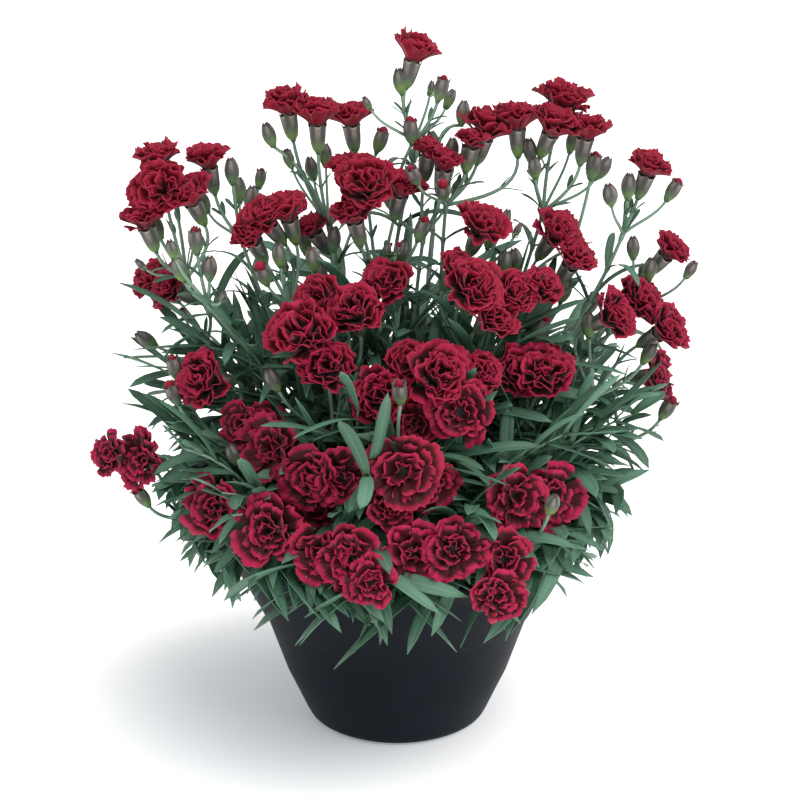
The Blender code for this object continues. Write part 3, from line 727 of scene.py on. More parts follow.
def petal_velvet():
    """Crimson, darker towards the foot of an open bloom's petals, with a brighter toothed edge and a
    painted highlight along its very edge.
    """
    made, wire, start = finish(
        "petal velvet", Sheen_Weight=0.15, Sheen_Roughness=0.4, Specular_IOR_Level=0.2)
    mapped = start.mapped()
    reach = mapped.axis(1)
    tone, opened, shade = [start.trait(name) for name in ("tone", "opened", "shade")]
    grooves = mapped.stretched(30, 1.4, 1).noise(1, 2)
    veins = grooves - 0.5
    cloud = start.objects().noise(240, 2) - 0.5
    worn = reach + veins * 0.16 + cloud * 0.06 + opened * 0.06 - 0.05 + (tone - 0.5) * 0.06
    body = (tone * 0.6 + shade * 0.4).blend(colour("6b0b1b"), colour("92132f"))
    blotch = (tone * 0.5 + shade * 0.5).blend(colour("330910"), colour("4e0d19"))
    inner = opened.step(0.0, WIDE_OPEN).blend(body, blotch)
    rim = (opened * 0.7 + tone * 0.3).blend(colour("94122a"), colour("b01b48"))
    # A painted highlight: the petal's very edge is lightened towards pink, as where light catches it.
    painted_edge_highlight = (reach + veins * 0.1).step(0.93, 1.0) * 0.3
    wire("Base Color", painted_edge_highlight.blend(worn.step(0.74, 0.93).blend(inner, rim), colour("c2365a")))
    wire("Roughness", veins * 0.2 + 0.6)
    wire("Normal", grooves.bump(0.35, 0.0006))
    return made


velvet = petal_velvet()
stem_blooms = find_blooms()
all_blooms = [item for items in stem_blooms.values() for item in items]
bunches = {}
for item in all_blooms:
    dress_bloom(bunches.setdefault(item["node"], Bunch()), item)
for node_name, bunch in bunches.items():
    piece = bunch.piece(node_name.replace("blooms_", "petals_"), "tone", "opened", "shade")
    show(piece, velvet, "petals", node_name)


# Stems: round, brittle and pale with wax, with a swollen joint every few centimetres. They part at
# the top into short stalks, each of which ends in the calyx of a bloom or in a bud.

CALYX_LENGTH = 19 * MM
STALK_RADIUS = 1.1 * MM
STALK_ROOT = 1.3 * MM
BUD_LENGTH = 19.5 * MM
STEM_SIDES = 4
STEM_RADIUS = 1.6 * MM
STEM_APART = 2.4 * MM
STEM_SUNK = 5 * MM
STEM_STEP = 66 * MM
FORK_BELOW = 24 * MM
KNOT_RADIUS = 2.6 * MM
JOINT_LENGTH = 2.6 * MM
RING_START = math.radians(35)
RING_APART = 4 * MM
SWELL_RADIUS = 0.75 * MM
SWELL_LENGTH = 1.7 * MM
FORK_RADIUS = 2.1 * MM


def mean(points):
    return sum(points, Vector((0, 0, 0))) / len(points)


def strayed(size, draw):
    """A small seeded move."""
    return Vector([draw.uniform(-size, size) for _ in range(3)])


def bezier(a, b, c, d, t):
    s = 1 - t
    return a * s**3 + b * 3 * s * s * t + c * 3 * s * t * t + d * t**3


def curve_points(curve, count):
    return np.array([bezier(*curve, i / (count - 1)) for i in range(count)])


def frames(path):
    """Two unit vectors across an array of points at each of them, carried on without twisting."""
    tangent = unit(np.gradient(path, axis=0))
    across = np.empty_like(path)
    carried = np.array([math.cos(RING_START), math.sin(RING_START), 0.05])
    for i, t in enumerate(tangent):
        carried = unit(carried - t * carried.dot(t))
        across[i] = carried
    return across, np.cross(tangent, across)


def rings(path, radii, sides):
    """The corners of a tube along an array of points, ring by ring."""
    across, along = [vectors[:, None] for vectors in frames(path)]
    angles = (np.arange(sides) * math.tau / sides)[:, None]
    radii = np.asarray(radii)
    radii = radii[:, None] if radii.ndim == 1 else radii
    return path[:, None] + (across * np.cos(angles) + along * np.sin(angles)) * radii[..., None]


@functools.cache
def sleeve_faces(count, sides):
    """Faces of a tube of rings, closed by a fan at each end."""
    index = np.arange(count * sides).reshape(count, sides)
    after = np.roll(index, -1, axis=1)
    walls = np.stack([index[:-1], after[:-1], after[1:], index[1:]], -1).reshape(-1, 4).tolist()
    first, last = count * sides, count * sides + 1
    fans = [(first, b, a) for a, b in zip(index[0].tolist(), after[0].tolist())]
    fans += [(last, a, b) for a, b in zip(index[-1].tolist(), after[-1].tolist())]
    return walls + fans


def sleeve(path, radii, sides):
    """A closed round tube along an array of points. Its map runs round it and along it."""
    body = rings(path, radii, sides).reshape(-1, 3)
    mapped = map_of(np.arange(sides) / sides, np.linspace(0, 1, len(path))[:, None])
    points = np.concatenate([body, path[:1], path[-1:]])
    return points, sleeve_faces(len(path), sides), np.concatenate([mapped, [[0.5, 0], [0.5, 1]]])


def stem_fork(tips, foot, draw, stray):
    """Where a stem's branches part: below the middle of its calyxes and buds, towards its foot."""
    middle = mean(tips)
    spread = max((tip - middle).length for tip in tips)
    down = ((foot - middle).normalized() * 0.6 + Vector((0, 0, -0.4))).normalized()
    fork = middle + down * min(FORK_BELOW + spread * 0.9, (foot - middle).length * 0.55)
    return fork + strayed(stray, draw)


def stem_curve(foot, fork, heading, draw, bend):
    """The four points of the curve that leaves the soil upright and arrives at the fork."""
    reach = (fork - foot).length
    first, second = [strayed(bend, draw) * reach for _ in range(2)]
    start = foot - Vector((0, 0, STEM_SUNK))
    rise = foot + Vector((0, 0, reach * 0.4)) + first
    arrive = fork - heading * reach * 0.3 + second
    return start, rise, arrive, fork


def stem_corners(curve, heading):
    """The joints of a stem's solid, and the corners of its rings."""
    fork = curve[3]
    reach = (fork - curve[0] - Vector((0, 0, STEM_SUNK))).length
    steps = max(3, round(reach / STEM_STEP))
    path = [bezier(*curve, i / steps) for i in range(steps + 1)]
    centres = [path[0]]
    for below, point, above in zip(path, path[1:], path[2:]):
        half = (above - below).normalized() * JOINT_LENGTH / 2
        centres += [point - half, point + half]
    radii = [STEM_RADIUS] * len(centres) + [KNOT_RADIUS, KNOT_RADIUS * 0.8]
    centres += [fork - heading * KNOT_RADIUS, fork + heading * KNOT_RADIUS]
    return path, rings(np.array(centres), radii, STEM_SIDES)


def find_stem(plant, s, blooms, buds, foot):
    """The curve, heading, joints and ring corners of one stem."""
    tips = [item["mouth"] - item["axis"] * CALYX_LENGTH for item in blooms] + buds
    for shift in range(FORK_TRIES):
        fork = stem_fork(tips, foot, random.Random(f"{plant} {s} fork {shift}"), shift * 2 * MM)
        heading = sum((item["axis"] for item in blooms), (fork - foot).normalized() * 1.5).normalized()
        for attempt in range(TRIES):
            draw = random.Random(f"{plant} {s} stem {attempt}")
            curve = stem_curve(foot, fork, heading, draw, 0.02 + 0.006 * attempt)
            path, found = stem_corners(curve, heading)
            if node_at(found[1:-2].reshape(-1, 3), 4):
                return curve, heading, path, found
    return None


def find_stalk(plant, s, e, foot, axis, fork):
    """The four points of the curve from the fork to the foot of one calyx or bud."""
    reach = (foot - fork).length
    root = fork.lerp(foot, STALK_ROOT / reach)
    curves = []
    for attempt in range(TRIES):
        draw = random.Random(f"{plant} {s} end {e} {attempt}")
        lead = foot - axis * reach * 0.4 + strayed(0.012 * attempt, draw) * reach
        curves.append((root, root.lerp(lead, 0.5), lead, foot))
        bend = np.array([root, bezier(*curves[-1], 0.6), foot])
        if node_at(rings(bend, [STALK_RADIUS] * 3, STEM_SIDES)[1], 2):
            return curves[-1]
    return curves[0]


def dress_stem(bunch, curve, path, draw):
    """A main stem with a swelling at each of its joints, and at the joints between those."""
    length = (curve[3] - curve[0]).length
    count = max(12, round(length / RING_APART))
    shares = np.linspace(0, 1, count)
    parts = 2 * (len(path) - 1)
    joints = np.arange(1, parts) / parts
    swell = sum(np.exp(-((shares - joint) * length / SWELL_LENGTH) ** 2) for joint in joints)
    radii = STEM_RADIUS * (1.12 - 0.3 * shares) + SWELL_RADIUS * np.clip(swell, 0, 1)
    radii[-2:] = FORK_RADIUS
    bunch.add(*sleeve(curve_points(curve, count), radii, 8), draw.uniform(0, 1), 1)
    return joints


# Calyxes and buds: a grey-purple tube that is yellow-green at its foot, with five pointed teeth
# with pale edges. Small bracts clasp its foot. A bud is shorter and egg-shaped, and shows a little
# furled red between its teeth.

CALYX_TEETH = 5
TOOTH = (1, 0.25, 0.25)
CALYX_SIDES = CALYX_TEETH * len(TOOTH)
CALYX_RINGS = [  # share of the length, radius in millimetres, and the share of a tooth's length
    (0.0, 1.5, 0), (0.05, 2.9, 0), (0.16, 4.2, 0), (0.35, 5.2, 0), (0.6, 5.8, 0), (0.85, 6.2, 0),
    (0.97, 6.5, 0.3), (1.04, 6.9, 1.0),
]
CALYX_TOOTH = 3.6 * MM
CALYX_FLOOR = 0.8
BUD_RINGS = [
    (0.0, 1.4, 0), (0.05, 2.6, 0), (0.16, 4.1, 0), (0.34, 5.2, 0), (0.52, 5.5, 0), (0.7, 5.0, 0),
    (0.84, 3.6, 0.4), (0.92, 1.7, 1.0),
]
BUD_TOOTH = 3.0 * MM
OPENING_BUDS = 0.3
BRACT_THICK = 0.4 * MM
BRACT_WIDTH = 4.2 * MM
FURLED_SIDES = 15
FURLED_RINGS = 9


def toothed_tube(foot, axis, length, profile, tip, size, draw):
    """A closed tube with five teeth round its open end, as points, faces and map."""
    across, along = crossing(axis)
    angles = draw.uniform(0, math.tau) + np.arange(CALYX_SIDES) * math.tau / CALYX_SIDES
    ring = np.outer(np.cos(angles), across) + np.outer(np.sin(angles), along)
    foot, axis = np.array(foot), np.array(axis)
    tooth = np.array(TOOTH * CALYX_TEETH)
    ribs = 0.98 + 0.05 * tooth
    share, radius, reach = profile[-1]
    inward = [(share - 0.02, radius - 0.5, reach), (CALYX_FLOOR, profile[-3][1] - 0.9, 0)]
    body, shares = [], []
    for share, radius, reach in [*profile, *inward]:
        height = share * length + reach * tip * (tooth - 0.35)
        body.append(foot + ring * (radius * MM * size * ribs)[:, None] + height[:, None] * axis)
        shares.append(np.clip(height / length, 0, 1.2))
    points = np.concatenate([*body, [foot, foot + axis * length * CALYX_FLOOR]])
    mapped = np.concatenate([map_of(tooth, np.array(shares)), [[0, 0], [0, CALYX_FLOOR]]])
    return points, sleeve_faces(len(body), CALYX_SIDES), mapped


def bract(foot, axis, ray, length, width, spread):
    """A small pointed scale that clasps the foot of a calyx or a joint."""
    foot, axis, ray = np.array([foot, axis, ray])
    v = np.linspace(0, 1, 5)[:, None]
    u = np.linspace(-1, 1, 4)
    half = width / 2 * (0.75 + 0.25 * v) * (1 - v ** 2.6) + 0.05 * MM
    centre = foot + v * length * axis + (spread * np.sin(v * 2.2) + 1.7 * MM) * ray
    aside = (half * u)[..., None] * np.cross(axis, ray)
    wrapped = (0.9 * u ** 2 * half)[..., None] * ray
    return blade(centre[:, None] + aside - wrapped, BRACT_THICK, 0.02 + 0.4 * v[:, 0])


def clasp(bunch, foot, axis, size, draw):
    """Two pairs of bracts round the foot of a calyx or bud."""
    across, along = crossing(axis)
    spin = draw.uniform(0, math.tau)
    for k in range(4):
        ray = ray_at(across, along, spin + k * math.pi / 2)
        long = draw.uniform(6, 9) * MM * size
        start = foot - axis * (1.2 if k % 2 else 0.2) * MM
        scale = bract(start, axis, ray, long, BRACT_WIDTH * size, BRACT_WIDTH / 2 * size)
        bunch.add(*scale, draw.uniform(0, 1), 1)


def dress_calyx(bunch, foot, axis, draw):
    tube = toothed_tube(foot, axis, CALYX_LENGTH, CALYX_RINGS, CALYX_TOOTH, 1, draw)
    bunch.add(*tube, draw.uniform(0, 1), 0)
    clasp(bunch, foot, axis, 1, draw)


def furled(bunch, foot, axis, size, opened, draw):
    """The furled petals in the mouth of a bud: a small ridged dome, wider where the bud opens."""
    v = np.linspace(0, 1, FURLED_RINGS)
    height = BUD_LENGTH * (0.6 + v * (0.36 + 0.14 * opened)) * size
    path = np.array(foot) + np.outer(height, axis)
    dome = np.sqrt(np.clip(1 - ((v - 0.45) / 0.56) ** 2, 0.01, 1)) * (1.8 + 2.4 * opened) * MM * size
    turns = np.arange(FURLED_SIDES) * math.tau / FURLED_SIDES
    twist = v[:, None] * 2.4 + draw.uniform(0, math.tau)
    radii = dome[:, None] * (1 + 0.16 * np.sin(5 * turns + 4 * twist) * v[:, None])
    bunch.add(*sleeve(path, radii, FURLED_SIDES), draw.uniform(0, 1), 0, draw.uniform(0, 1))


def dress_bud(bunch, inside, foot, axis, size, draw):
    """A bud, closed or beginning to open, with its bracts and furled petals."""
    opened = draw.uniform(0.3, 0.9) if draw.random() < OPENING_BUDS else 0
    profile = [
        (share, radius * (1 + 0.35 * opened * max(0, share - 0.5)), reach)
        for share, radius, reach in BUD_RINGS
    ]
    if opened:
        profile[-2:] = [(0.8, 4.8, 0.4), (0.87, 4.4 + opened * 1.6, 1.0)]
    tube = toothed_tube(foot, axis, BUD_LENGTH * size, profile, BUD_TOOTH, size, draw)
    bunch.add(*tube, draw.uniform(0, 1), 0)
    clasp(bunch, foot, axis, size * 0.9, draw)
    furled(inside, foot, axis, size, opened, draw)


def calyx_skin():
    """Ribbed green that ripens to grey-purple towards the teeth, and leafier on the bracts."""
    made, wire, start = finish("calyx skin", Specular_IOR_Level=0.35)
    mapped = start.mapped()
    tooth, share = mapped.axis(0), mapped.axis(1)
    tone, scale = start.trait("tone"), start.trait("bract")
    cloud = start.objects().noise(420)
    ribs = mapped.stretched(26, 2, 1).noise(1, 2)
    ripe = (share + (cloud - 0.5) * 0.3 + (tone - 0.5) * 0.16).step(0.1, 0.6)
    low = tone.blend(colour("6d8a4c"), colour("5f8157"))
    high = (cloud * 0.5 + tone * 0.5).blend(colour("56635a"), colour("625157"))
    body = ripe.blend(low, (ribs.step(0.35, 0.65) * 0.7).blend(high, colour("373b39")))
    pale = (share.step(0.9, 1.0) + share.step(0.35, 0.8) * 0.7) * (1 - tooth.step(0.2, 0.7))
    skin = (pale * 0.5).blend(body, colour("b5aa9c"))
    leafy = share.step(0.1, 0.42).blend(colour("54784f"), colour("8f9a86"))
    wire("Base Color", (scale * 0.9).blend(skin, leafy))
    wire("Roughness", (ribs - 0.5) * 0.2 + 0.55)
    wire("Normal", ribs.bump(0.4, 0.0006))
    return made


# Leaves: narrow straps with a shallow channel, waxy blue-green, in pairs that clasp every joint.
# The stems carry few, and leafy shoots without blooms fill the mound and hang over the rim.

LEAF_WIDTH = 7.6 * MM
LEAF_THICK = 0.5 * MM
LEAF_STEPS = 20
ARCH_STEPS = 8
WIDEST = 0.4  # how far along a leaf it is widest
CROWN_SIDES = 4
CROWN_RADIUS = 5.2 * MM
CROWN_LEVELS = (-22, 1, 6)
CROWN_BULGE = (3.4, 3.8, 4.2, 4.5, 4.6, 4.4, 3.0)
CROWN_LEAF = 105 * MM
LOW_LEAF = 92 * MM
HIGH_LEAF = 42 * MM
HIGH_LEAVES = 430 * MM
LOW_LEAVES = 180 * MM
LEAF_SPARE = 14 * MM
PAIR_TRIES = 6
SHOOTS = 40
SHOOT_LEAVES = 40
SHOOT_STEP = 21 * MM
SHOOT_LEAF = 104 * MM
SHOOT_WIDTH = 10 * MM
RIM_SHOOTS = 40
RIM_LEAVES = 5
RIM_TRIES = 60
HIGH_FORK = 270 * MM
SIDE_BUDS = 3
SIDE_TRIES = 30
SIDE_SIZES = (0.5, 0.75, 0.9, 1.0)
BUD_ROOM = 6 * MM
BUD_SPARE = 4 * MM
BUD_ROUND = 9 * MM
CALYX_MIDDLE = 9 * MM
CALYX_ROUND = 8 * MM
BLOOM_CLEAR = 60 * MM
SHORT_STALK = 22 * MM
STALK_LEAF = 15 * MM
STALK_LEAF_WIDTH = 3.4 * MM
FORK_LEAF = 24 * MM
FORK_LEAF_WIDTH = 4.2 * MM
SHOOT_SUNK = 2 * MM
WALL_INSIDE = 128 * MM
WALL_OUTSIDE = 142 * MM
WALL_TOP = 161 * MM
SOIL_REACH = 130 * MM
LOWEST_LEAF = 50 * MM
MOUND = np.array([  # the mound's outline: height, and how far it reaches along X and along Y
    (0.04, 0.15, 0.165), (0.09, 0.154, 0.17), (0.13, 0.162, 0.176), (0.16, 0.172, 0.18),
    (0.19, 0.188, 0.182), (0.24, 0.206, 0.18), (0.3, 0.214, 0.178), (0.34, 0.212, 0.176),
    (0.38, 0.202, 0.17), (0.45, 0.18, 0.15), (0.55, 0.15, 0.12),
])

low_bound, high_bound = [np.array(corner) for corner in solid_bounds]
bloom_middles = np.array([item["middle"] + item["axis"] * item["radius"] * 0.2 for item in all_blooms])
bloom_radii = np.array([item["radius"] for item in all_blooms])
bloom_axes = np.array([item["axis"] for item in all_blooms])


def pointing(azimuth, rise):
    """The direction that an angle round the pot and an angle upwards give."""
    return math.cos(rise) * math.cos(azimuth), math.cos(rise) * math.sin(azimuth), math.sin(rise)


def leaf_path(start, azimuth, rise, fall, curl, length):
    """Points along a strap leaf that leaves its stem at one slope and ends at another."""
    found = [start.copy()]
    for i in range(LEAF_STEPS):
        t = (i + 0.5) / LEAF_STEPS
        step = Vector(pointing(azimuth + curl * t, rise + (fall - rise) * t))
        found.append(found[-1] + step * length / LEAF_STEPS)
    return found


def find_leaf(start, azimuth, rise, length, seed):
    """The path and roll of a leaf of the solids, or nothing where the solids have none."""
    for attempt in range(TRIES):
        draw = random.Random(f"{seed} {attempt}")
        stray = 0.15 + 0.02 * attempt
        heading = azimuth + draw.uniform(-stray, stray)
        size = length * draw.uniform(0.8, 1.15) * (1 - 0.4 * attempt / TRIES)
        first, last = rise + draw.uniform(-stray, stray), rise - draw.uniform(0.7, 2.0)
        path = leaf_path(start, heading, first, last, draw.uniform(-0.4, 0.4), size)
        if node_at(path[-1:], 1):
            return path, draw.uniform(-0.7, 0.7)
    return None


def arch(start, direction, droop, curl, length):
    """Points along a leaf that leaves in a direction, bends down under its weight and sways aside."""
    turn = math.cos(curl / ARCH_STEPS), math.sin(curl / ARCH_STEPS)
    found = [np.array(start)]
    heading = np.array(direction)
    sway = np.array([-heading[1], heading[0], 0]) * curl * 1.6
    for i in range(ARCH_STEPS):
        found.append(found[-1] + heading * length / ARCH_STEPS)
        heading = heading + (sway * i / ARCH_STEPS - np.array([0, 0, droop])) / ARCH_STEPS
        x, y = heading[:2]
        heading[:2] = x * turn[0] - y * turn[1], x * turn[1] + y * turn[0]
        heading = unit(heading)
    return np.array(found)


def dress_leaf(bunch, path, width, roll, draw):
    """One channelled leaf along its path."""
    path = np.array([tuple(point) for point in path])
    share = np.linspace(0, 1, len(path))
    rising = 0.5 + 0.5 * np.sin(share / WIDEST * math.pi / 2)
    falling = 1 - (np.abs(share - WIDEST) / (1 - WIDEST)) ** 5
    half = (width / 2 * np.where(share < WIDEST, rising, falling) + 0.12 * MM)[:, None]
    tangent = unit(np.gradient(path, axis=0))
    side = np.cross(tangent, [0, 0, 1.0])
    side = unit(side + side.mean(0) * 0.2)
    up = np.cross(side, tangent)
    turn = (roll * share)[:, None]
    edge = side * np.cos(turn) + up * np.sin(turn)
    over = up * np.cos(turn) - side * np.sin(turn)
    u = np.linspace(-1, 1, 5)
    aside = (half * u)[..., None] * edge[:, None]
    channel = (draw.uniform(0.12, 0.3) * half * (u ** 2 - 0.4))[..., None] * over[:, None]
    bunch.add(*blade(path[:, None] + aside + channel, LEAF_THICK, share), draw.uniform(0, 1), 0)


def solid_leaf(bunch, below, above, side, azimuth, rise, length, width, seed, draw):
    """A leaf of the solids, from the middle of one flat side between two rings, if it is there."""
    other = (side + 1) % len(below)
    start = Vector((below[side] + below[other] + above[other] + above[side]) / 4)
    found = find_leaf(start, azimuth, rise, length, seed)
    if found:
        path, roll = found
        dress_leaf(bunch, path[::2], width, roll, draw)


def has_room(path, spare):
    """Whether a leaf stays inside the mound and clear of the pot's wall, the soil and the blooms."""
    if (path < low_bound - spare).any() or (path > high_bound + spare).any():
        return False
    height = path[:, 2]
    wide, deep = [np.interp(height, MOUND[:, 0], MOUND[:, k]) for k in (1, 2)]
    if (np.hypot(path[:, 0] / wide, path[:, 1] / deep) > 1).any():
        return False
    radius = np.hypot(path[:, 0], path[:, 1])
    if ((height < WALL_TOP) & (radius > WALL_INSIDE) & (radius < WALL_OUTSIDE)).any():
        return False
    if ((radius < SOIL_REACH) & (height < SOIL_TOP))[2:].any() or (height < LOWEST_LEAF).any():
        return False
    apart = path[2:, None] - bloom_middles[None]
    above = (apart * bloom_axes).sum(2)
    beside = np.sqrt(np.clip((apart ** 2).sum(2) - above ** 2, 0, None))
    covers = (beside < bloom_radii * 0.85) & (above > -bloom_radii * 0.7) & (above < BLOOM_CLEAR)
    return not covers.any()


def leaf_pair(bunch, at, along, turn, length, width, lean, droop, draw):
    """Two opposite leaves at a joint of a stem or shoot. Tells how many found room."""
    along = unit(np.array(along))
    across = unit(np.cross(along, [math.cos(turn), math.sin(turn), 0.1]))
    grown = 0
    for sign in (-1, 1):
        for _ in range(PAIR_TRIES):
            spread = lean + draw.uniform(-0.2, 0.2)
            direction = along * math.cos(spread) + across * sign * math.sin(spread)
            weight = droop * draw.uniform(0.5, 1.4)
            curl = draw.uniform(-0.5, 0.5)
            path = arch(at, direction, weight, curl, length * draw.uniform(0.75, 1.15))
            if has_room(path, LEAF_SPARE):
                dress_leaf(bunch, path, width * draw.uniform(0.85, 1.1), draw.uniform(-0.8, 0.8), draw)
                grown += 1
                break
            length *= 0.9
    return grown


def leafy_shoot(bunch, foot, azimuth, lean, length, draw):
    """A thin stem without blooms, with a pair of long leaves at each of its joints. Tells how many."""
    heading = np.array(pointing(azimuth, math.pi / 2 - lean))
    up = np.array([0, 0, length])
    start = np.array(foot) - np.array([0, 0, SHOOT_SUNK])
    rise = start + up * 0.4 + heading * length * 0.1
    middle = start + heading * length * 0.7 + up * 0.16
    curve = [Vector(point) for point in (start, rise, middle, start + heading * length)]
    if not has_room(curve_points(curve, 14)[4:], 0):
        return 0
    pairs = max(2, round(length / SHOOT_STEP))
    turn = draw.uniform(0, math.pi)
    top = count = 0
    for i in range(1, pairs + 1):
        share = i / pairs
        at = bezier(*curve, share)
        ahead = bezier(*curve, min(1, share + 0.02)) - bezier(*curve, share - 0.02)
        turn += math.pi / 2 + draw.uniform(-0.5, 0.5)
        size = SHOOT_LEAF * (1 - share / 4)
        droop = 0.55 + share_between(at.z, 0.25, 0.15)
        grown = leaf_pair(bunch, at, ahead, turn, size, SHOOT_WIDTH, 0.95 - 0.45 * share, droop, draw)
        count += grown
        top = share if grown else top
    if top:
        points = np.array([bezier(*curve, top * i / 9) for i in range(10)])
        bunch.add(*sleeve(points, np.linspace(1.5, 0.7, 10) * MM, 6), draw.uniform(0, 1), 1)
    return count


def rim_shoot(bunch, azimuth, draw):
    """A short shoot at the soil's edge, whose leaves hang over the pot's rim."""
    ray = np.array([math.cos(azimuth), math.sin(azimuth), 0])
    reach = draw.uniform(104, 114) * MM
    start = ray * reach + np.array([0, 0, soil_height(reach, 0) - SHOOT_SUNK])
    end = ray * draw.uniform(119, 124) * MM + np.array([0, 0, draw.uniform(163, 172) * MM])
    points = np.array([start + (end - start) * np.array([t * t, t * t, t]) for t in np.linspace(0, 1, 8)])
    grown = 0
    for _ in range(RIM_TRIES):
        turn = azimuth + draw.uniform(-0.9, 0.9)
        direction = pointing(turn, draw.uniform(0.1, 0.9))
        droop = draw.uniform(1.0, 2.2)
        curl = draw.uniform(-1.3, 1.3)
        path = arch(points[-1 - grown % 3], direction, droop, curl, draw.uniform(78, 126) * MM)
        if has_room(path, LEAF_SPARE):
            dress_leaf(bunch, path, draw.uniform(8.8, 11.5) * MM, draw.uniform(-1, 1), draw)
            grown += 1
        if grown == RIM_LEAVES:
            break
    if grown:
        bunch.add(*sleeve(points, np.linspace(1.6, 1.0, 8) * MM, 6), draw.uniform(0, 1), 1)


def rim_owner(azimuth):
    """The plant that reaches furthest towards this side of the rim."""
    def reach(plant):
        x, y = PLANTS[plant][0]
        return x * math.cos(azimuth) + y * math.sin(azimuth)

    return max(PLANTS, key=reach)


def side_bud(cups, greens, fork, heading, taken, draw):
    """A small bud beside the blooms of a stem, where it finds room between them."""
    for _ in range(SIDE_TRIES):
        direction = (heading + strayed(1, draw) * 0.8).normalized()
        size = draw.choice(SIDE_SIZES)
        foot = fork + direction * draw.uniform(24, 52) * MM
        axis = (direction + Vector((0, 0, 0.7))).normalized()
        spots = [foot + axis * BUD_LENGTH * size * share for share in (0.1, 0.5, 1.0)]
        room = BUD_ROOM * size
        free = all((spot - other).length > near + room for spot in spots for other, near in taken)
        inside = (np.array(spots) > low_bound - BUD_SPARE) & (np.array(spots) < high_bound + BUD_SPARE)
        if free and axis.z > 0.3 and inside.all():
            break
    else:
        return
    taken += [(spot, room) for spot in spots]
    stalk = fork, fork.lerp(foot, 0.4), foot - axis * (foot - fork).length * 0.35, foot
    greens.add(*sleeve(curve_points(stalk, 9), np.linspace(1.3, 1.0, 9) * MM, 6), draw.uniform(0, 1), 1)
    dress_bud(cups, furled_buds, foot, axis, size, draw)


def dress_ends(plant, s, fork, blooms, buds, greens, cups, draw):
    """The stalks of one stem with their calyxes and buds, and the small leaves halfway up them."""
    ends = [(item["mouth"] - item["axis"] * (GAP + CALYX_LENGTH), item["axis"], False) for item in blooms]
    for middle in buds:
        axis = ((middle - fork).normalized() + Vector((0, 0, 0.7))).normalized()
        ends.append((middle - axis * BUD_LENGTH / 2, axis, True))
    for e, (foot, axis, is_bud) in enumerate(ends):
        stalk = fork, *find_stalk(plant, s, e, foot, axis, fork)[1:]
        radii = np.linspace(1.5, 1.25, 12) * MM
        greens.add(*sleeve(curve_points(stalk, 12), radii, 7), draw.uniform(0, 1), 1)
        if is_bud:
            dress_bud(cups, furled_buds, foot, axis, draw.uniform(0.92, 1.02), draw)
        else:
            dress_calyx(cups, foot, axis, draw)
        if (fork - foot).length > SHORT_STALK:
            at = bezier(*stalk, 0.55)
            ahead = bezier(*stalk, 0.65) - at
            turn = draw.uniform(0, 3)
            leaf_pair(greens, at, ahead, turn, STALK_LEAF, STALK_LEAF_WIDTH, 0.5, 0.5, draw)


def dress_joints(plant, s, curve, path, heading, solid_rings, joints, greens, draw):
    """The leaves up one stem: those of the solids, and a smaller pair at each joint and the fork."""
    across, along = frames(np.array(path))
    for n in range(1, len(path) - 1):
        share = share_between(path[n].z, HIGH_LEAVES, LOW_LEAVES)
        length = HIGH_LEAF + (LOW_LEAF - HIGH_LEAF) * share
        width = LEAF_WIDTH * (0.6 + 0.4 * share) * 1.2
        below, above = solid_rings[2 * n - 1], solid_rings[2 * n]
        for side in range(2):
            corner = (n + 2 * side) % STEM_SIDES
            outward = ray_at(across[n], along[n], math.tau * (corner + 0.5) / STEM_SIDES)
            azimuth = math.atan2(outward[1], outward[0])
            seed = f"{plant} {s} leaf {n} {side}"
            solid_leaf(greens, below, above, corner, azimuth, 0.9, length, width, seed, draw)
    for joint in joints[1:]:
        at = bezier(*curve, joint)
        ahead = bezier(*curve, min(1, joint + 0.02)) - at
        share = share_between(at.z, HIGH_LEAVES, LOW_LEAVES)
        size, width = (30 + 50 * share) * MM, (4.6 + 3 * share) * MM
        leaf_pair(greens, at, ahead, draw.uniform(0, math.pi), size, width, 0.8, 1.1, draw)
    turn = draw.uniform(0, math.pi)
    leaf_pair(greens, curve[3], heading, turn, FORK_LEAF, FORK_LEAF_WIDTH, 0.7, 0.8, draw)


def grow_mound(plant, foot, greens, draw):
    """The leafy shoots round one crown. They lean out more, the nearer it stands to the rim."""
    x, y = PLANTS[plant][0]
    away = math.hypot(x, y) / 90
    grown = 0
    for _ in range(SHOOTS):
        azimuth = math.atan2(y, x) + draw.uniform(-1, 1) * (3.1 - 2.0 * min(1, away))
        lean = math.radians(10 + 32 * min(1, away) + draw.uniform(-10, 12))
        length = draw.uniform(60, 165 + 60 * max(0, 0.8 - away)) * MM
        grown += leafy_shoot(greens, foot, azimuth, lean, length, draw)
        if grown > SHOOT_LEAVES:
            break
    for n in range(RIM_SHOOTS):
        azimuth = math.tau * (n + 0.5) / RIM_SHOOTS
        if rim_owner(azimuth) == plant:
            rim_shoot(greens, azimuth, draw)


def leaf_wax():
    """Blue-green with a waxy bloom, fine lines and a paler rib. Stems are paler and greyer."""
    made, wire, start = finish("leaf wax", Specular_IOR_Level=0.4)
    mapped = start.mapped()
    across, share = mapped.axis(0) - 0.5, mapped.axis(1)
    tone, stem = start.trait("tone"), start.trait("stem")
    cloud = start.objects().noise(60, 4)
    lines = mapped.stretched(30, 1.5, 1).noise(1, 2)
    rib = 1 - (across * across).step(0.0, 0.012)
    green = (tone * 0.7 + cloud * 0.3).blend(colour("30543f"), colour("5e8a70"))
    green = (share.step(0.0, 0.35) * -0.35 + 0.35).blend(green, colour("6f8d60"))
    green = (rib * 0.14 + lines.step(0.4, 0.75) * 0.12).blend(green, colour("8fb09c"))
    bark = (cloud * 0.6 + tone * 0.4).blend(colour("648570"), colour("92ae99"))
    wire("Base Color", stem.blend(green, bark))
    wire("Roughness", (cloud - 0.5) * 0.3 + 0.48)
    wire("Normal", lines.bump(0.3, 0.0006))
    return made


